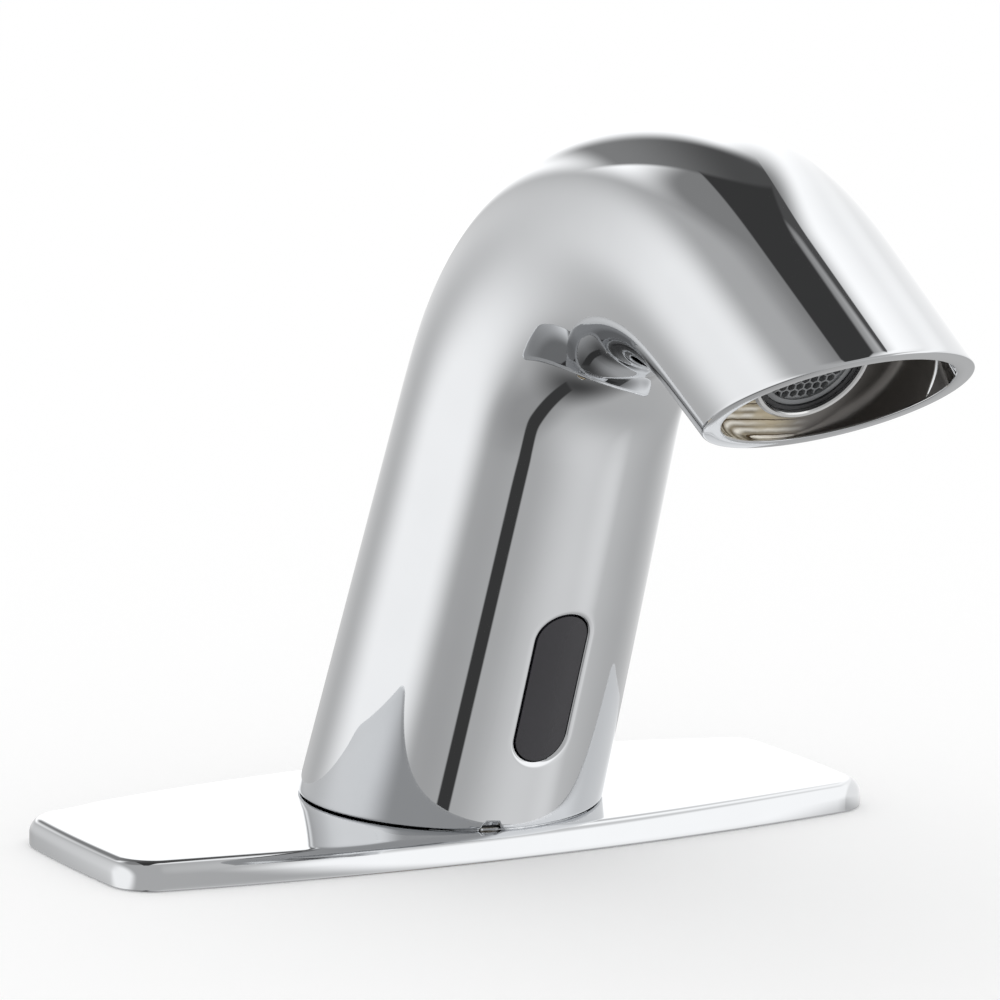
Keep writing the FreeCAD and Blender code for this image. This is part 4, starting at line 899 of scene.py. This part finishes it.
def makeSpring(node, axis):
    # a copy of the node's own wire in its place, with its transform baked in; its ends along the axis are
    # found but not used
    first, *others = node.split("_")
    piece = bpy.data.objects.new(first + "".join(word.title() for word in others), nodes[node].data.copy())
    scene.collection.objects.link(piece)
    wire = np.array([corner.co for corner in piece.data.vertices])
    axis = np.array(axis)
    heights = wire @ axis
    middle = wire.mean(axis=0) - axis * heights.mean()
    low, high = [tuple(float(v) for v in middle + axis * end) for end in (heights.min(), heights.max())]
    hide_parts(node)
    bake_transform(piece)


# each spring, with the piece that lifts under its lower end and its axis
springs = {
    "armature_spring": ("armature_slider", columnAxis),
    "piston_spring": ("piston", columnAxis),
    "check_valve_spring": ("poppet", (0.0, 0.0, 1.0)),
}
for node, (mover, axis) in springs.items():
    makeSpring(node, axis)
print("springs made")


camera = {
    "azimuth": math.radians(-29.114),
    "elevation": math.radians(10.452),
    "roll": math.radians(0.70),
    "distance": 1284.88,
    "target": (10.087, 0.0, 61.597),
    "lens": 245.17,
    "sensor": 36.0,
    "clipStart": 0.01,
}


def cameraAxes():
    # right, up and back of the camera, after its roll
    a, e = camera["azimuth"], camera["elevation"]
    back = Vector((math.sin(a) * math.cos(e), -math.cos(a) * math.cos(e), math.sin(e)))
    level = Vector((math.cos(a), math.sin(a), 0))
    up = back.cross(level)
    right = level * math.cos(camera["roll"]) + up * math.sin(camera["roll"])
    return right, back.cross(right), back


def addCamera():
    right, up, back = cameraAxes()
    data = bpy.data.cameras.new("camera")
    data.lens = camera["lens"]
    data.sensor_width = camera["sensor"]
    data.clip_start = camera["clipStart"]
    made = bpy.data.objects.new("camera", data)
    scene.collection.objects.link(made)
    place = (Vector(camera["target"]) + back * camera["distance"]) * mm
    made.matrix_world = Matrix.Translation(place) @ Matrix((right, up, back)).transposed().to_4x4()
    scene.camera = made


def addFloor():
    # just under the gasket, in metres
    half, level = 3.0, -0.0001
    corners = [(x * half, y * half, level) for x, y in [(-1, -1), (1, -1), (1, 1), (-1, 1)]]
    mesh = bpy.data.meshes.new("floor")
    mesh.from_pydata(corners, [], [(0, 1, 2, 3)])
    floor = bpy.data.objects.new("floor", mesh)
    scene.collection.objects.link(floor)

    # white where the camera sees it, and not there for reflections and from below
    material = bpy.data.materials.new("floorWhite")
    graph = Graph(material)
    white = graph.node("ShaderNodeBsdfDiffuse", None, {"Color": (1, 1, 1, 1)})
    clear = graph.node("ShaderNodeBsdfTransparent")
    inMirror = graph.node("ShaderNodeLightPath", out="Is Glossy Ray")
    below = graph.node("ShaderNodeNewGeometry", out="Backfacing")
    gone = inMirror.math("MAXIMUM", below)
    graph.finishSurface(graph.node("ShaderNodeMixShader", None, {0: gone, 1: white, 2: clear}))
    floor.data.materials.append(material)


studio = {
    "room": 0.372,          # how bright the bare room looks in the chrome
    "keyDirection": (-0.35, -0.45, 0.82),
    "keyShare": 0.3,        # how much brighter the soft light is from there
    # soft boxes and shades as a mirror ball shows them to the camera:
    # across, up, half width, half height, turn, softness of the edge, brightness in the chrome
    "panels": [
        (0.30, 0.95, 1.98, 0.247, 6.7, 0.225, 1.0),         # backdrop overhead
        (1.23, 0.60, 0.858, 0.921, -40, 0.226, 0.737),      # backdrop at the right
        (-0.605, -0.047, 0.249, 0.494, 3.8, 0.36, 0.848),   # soft box at the left
        (0.505, 0.122, 0.15, 0.647, 0.8, 0.2, 0.923),       # soft box at the right
        (0.361, -0.54, 0.256, 0.108, 18.6, 0.95, 0.585),    # its light on the table
        (-0.116, 0.736, 0.369, 0.104, 17.5, 0.291, 0.195),  # shade under the backdrop
        (-0.181, -0.611, 0.217, 0.12, -40, 0.564, 0.266),   # dark table edge
        (-0.065, -0.824, 0.261, 0.07, -17.8, 0.95, 0.053),
        (-0.976, 0.40, 0.22, 0.275, -14.7, 0.95, 0.56),     # wall behind, at the left
    ],
    # an arched shade: outer and inner circle, fade at its left end, right end, brightness at both ends,
    # and how far its outer edge fades in
    "arch": {"outer": (-0.10, -0.045, 0.952), "inner": (-0.13, -0.12, 0.892), "fade": (-0.69, -0.52),
             "end": 0.15, "levels": (0.19, 0.066), "soft": (-0.035, 0.010)},
    # a dark ribbon: its two sides at the top and the bottom, the heights between which it swerves, its ends
    "ribbon": {"top": (-0.106, -0.018), "bottom": (-0.152, -0.064), "bend": (-0.455, -0.60),
               "reach": (-0.80, -0.43), "level": 0.036},
    # a dark flag: the corners of a convex outline, anticlockwise
    "flag": {"outline": [(-0.115, 0.59), (-0.03, 0.60), (0.13, 0.805), (-0.215, 0.772)], "level": 0.036},
    "edge": 0.007,          # softness of the crisp edges
}


def panelCover(graph, across, height, panel):
    # inside an ellipse with a soft edge: the distance from its middle, in its own half sizes, under 1
    x, y, a, b, turn, soft = panel
    c, s = math.cos(math.radians(turn)), math.sin(math.radians(turn))
    u = ((across - x) * c + (height - y) * s) / a
    v = ((height - y) * c - (across - x) * s) / b
    return graph.smooth((u * u + v * v) ** 0.5, 1 - soft, 1 + soft, 1.0, 0.0)


def archCover(graph, across, height):
    # inside the outer circle and outside the inner one, between the two ends
    arch, edge = studio["arch"], studio["edge"]
    reach = [((across - x) * (across - x) + (height - y) * (height - y)) ** 0.5 - radius
             for x, y, radius in (arch["outer"], arch["inner"])]
    inside = graph.smooth(reach[0], *arch["soft"], 1.0, 0.0) * graph.smooth(reach[1], -edge, edge)
    inside = inside * graph.smooth(across, *arch["fade"])
    return inside * graph.smooth(across, arch["end"], arch["end"] + edge, 1.0, 0.0)


def ribbonCover(graph, across, height):
    # between two sides that swerve from their places at the top to those at the bottom
    ribbon, edge = studio["ribbon"], studio["edge"]
    left, right = [graph.smooth(height, *ribbon["bend"], high, low)
                   for high, low in zip(ribbon["top"], ribbon["bottom"])]
    low, high = ribbon["reach"]
    inside = graph.smooth(across - left, -edge, edge) * graph.smooth(right - across, -edge, edge)
    return (inside * graph.smooth(height, low - edge, low + edge)
            * graph.smooth(height, high + edge, high - edge))


def flagCover(graph, across, height):
    # where the least distance to the outline's sides is over zero
    outline, edge = studio["flag"]["outline"], studio["edge"]
    least = None
    for (x0, y0), (x1, y1) in zip(outline, outline[1:] + outline[:1]):
        length = math.hypot(x1 - x0, y1 - y0)
        side = ((height - y0) * (x1 - x0) - (across - x0) * (y1 - y0)) / length
        least = side if least is None else least.math("MINIMUM", side)
    return graph.smooth(least, -edge, edge)


def addWorld():
    world = bpy.data.worlds.new("studio")
    scene.world = world
    world.cycles.sampling_method = "NONE"
    graph = Graph(world)
    right, up, back = cameraAxes()
    direction = graph.node("ShaderNodeTexCoord", out="Generated")
    # the mirror ball's normal is halfway between the reflected ray and the camera
    normal = graph.vector("NORMALIZE", graph.vector("ADD", direction, back))
    across = graph.vector("DOT_PRODUCT", normal, right)
    height = graph.vector("DOT_PRODUCT", normal, up)
    arch = studio["arch"]
    layers = [(panelCover(graph, across, height, panel), level) for *panel, level in studio["panels"]]
    layers.append((archCover(graph, across, height),
                   graph.smooth(across, arch["fade"][1], 0.0, *arch["levels"])))
    layers.append((ribbonCover(graph, across, height), studio["ribbon"]["level"]))
    layers.append((flagCover(graph, across, height), studio["flag"]["level"]))
    bright = studio["room"]
    for inside, level in layers:
        bright = (1 - inside) * bright + inside * level
    key = Vector(studio["keyDirection"]).normalized()
    share = studio["keyShare"]
    # a level white surface comes out as white: the mean over the upper half is 1 + share * 2/3 * key's height
    toKey = graph.vector("DOT_PRODUCT", direction, key)
    soft = (1 + toKey * share) / (1 + share * 2 / 3 * key.z)
    seen = graph.node("ShaderNodeLightPath", out="Is Camera Ray")
    mirrored = graph.node("ShaderNodeLightPath", out="Is Glossy Ray")
    # a brightness in the chrome is that of the light times the chrome's own
    light = (1 - mirrored) * soft + mirrored * (bright / chromeLevel)
    colour = (1 - seen) * light + seen
    graph.node("ShaderNodeOutputWorld", None,
               {"Surface": graph.node("ShaderNodeBackground", None, {"Color": colour, "Strength": 1.0})})


addCamera()
addFloor()
addWorld()
scene.view_settings.view_transform = "Standard"
print("scene made")
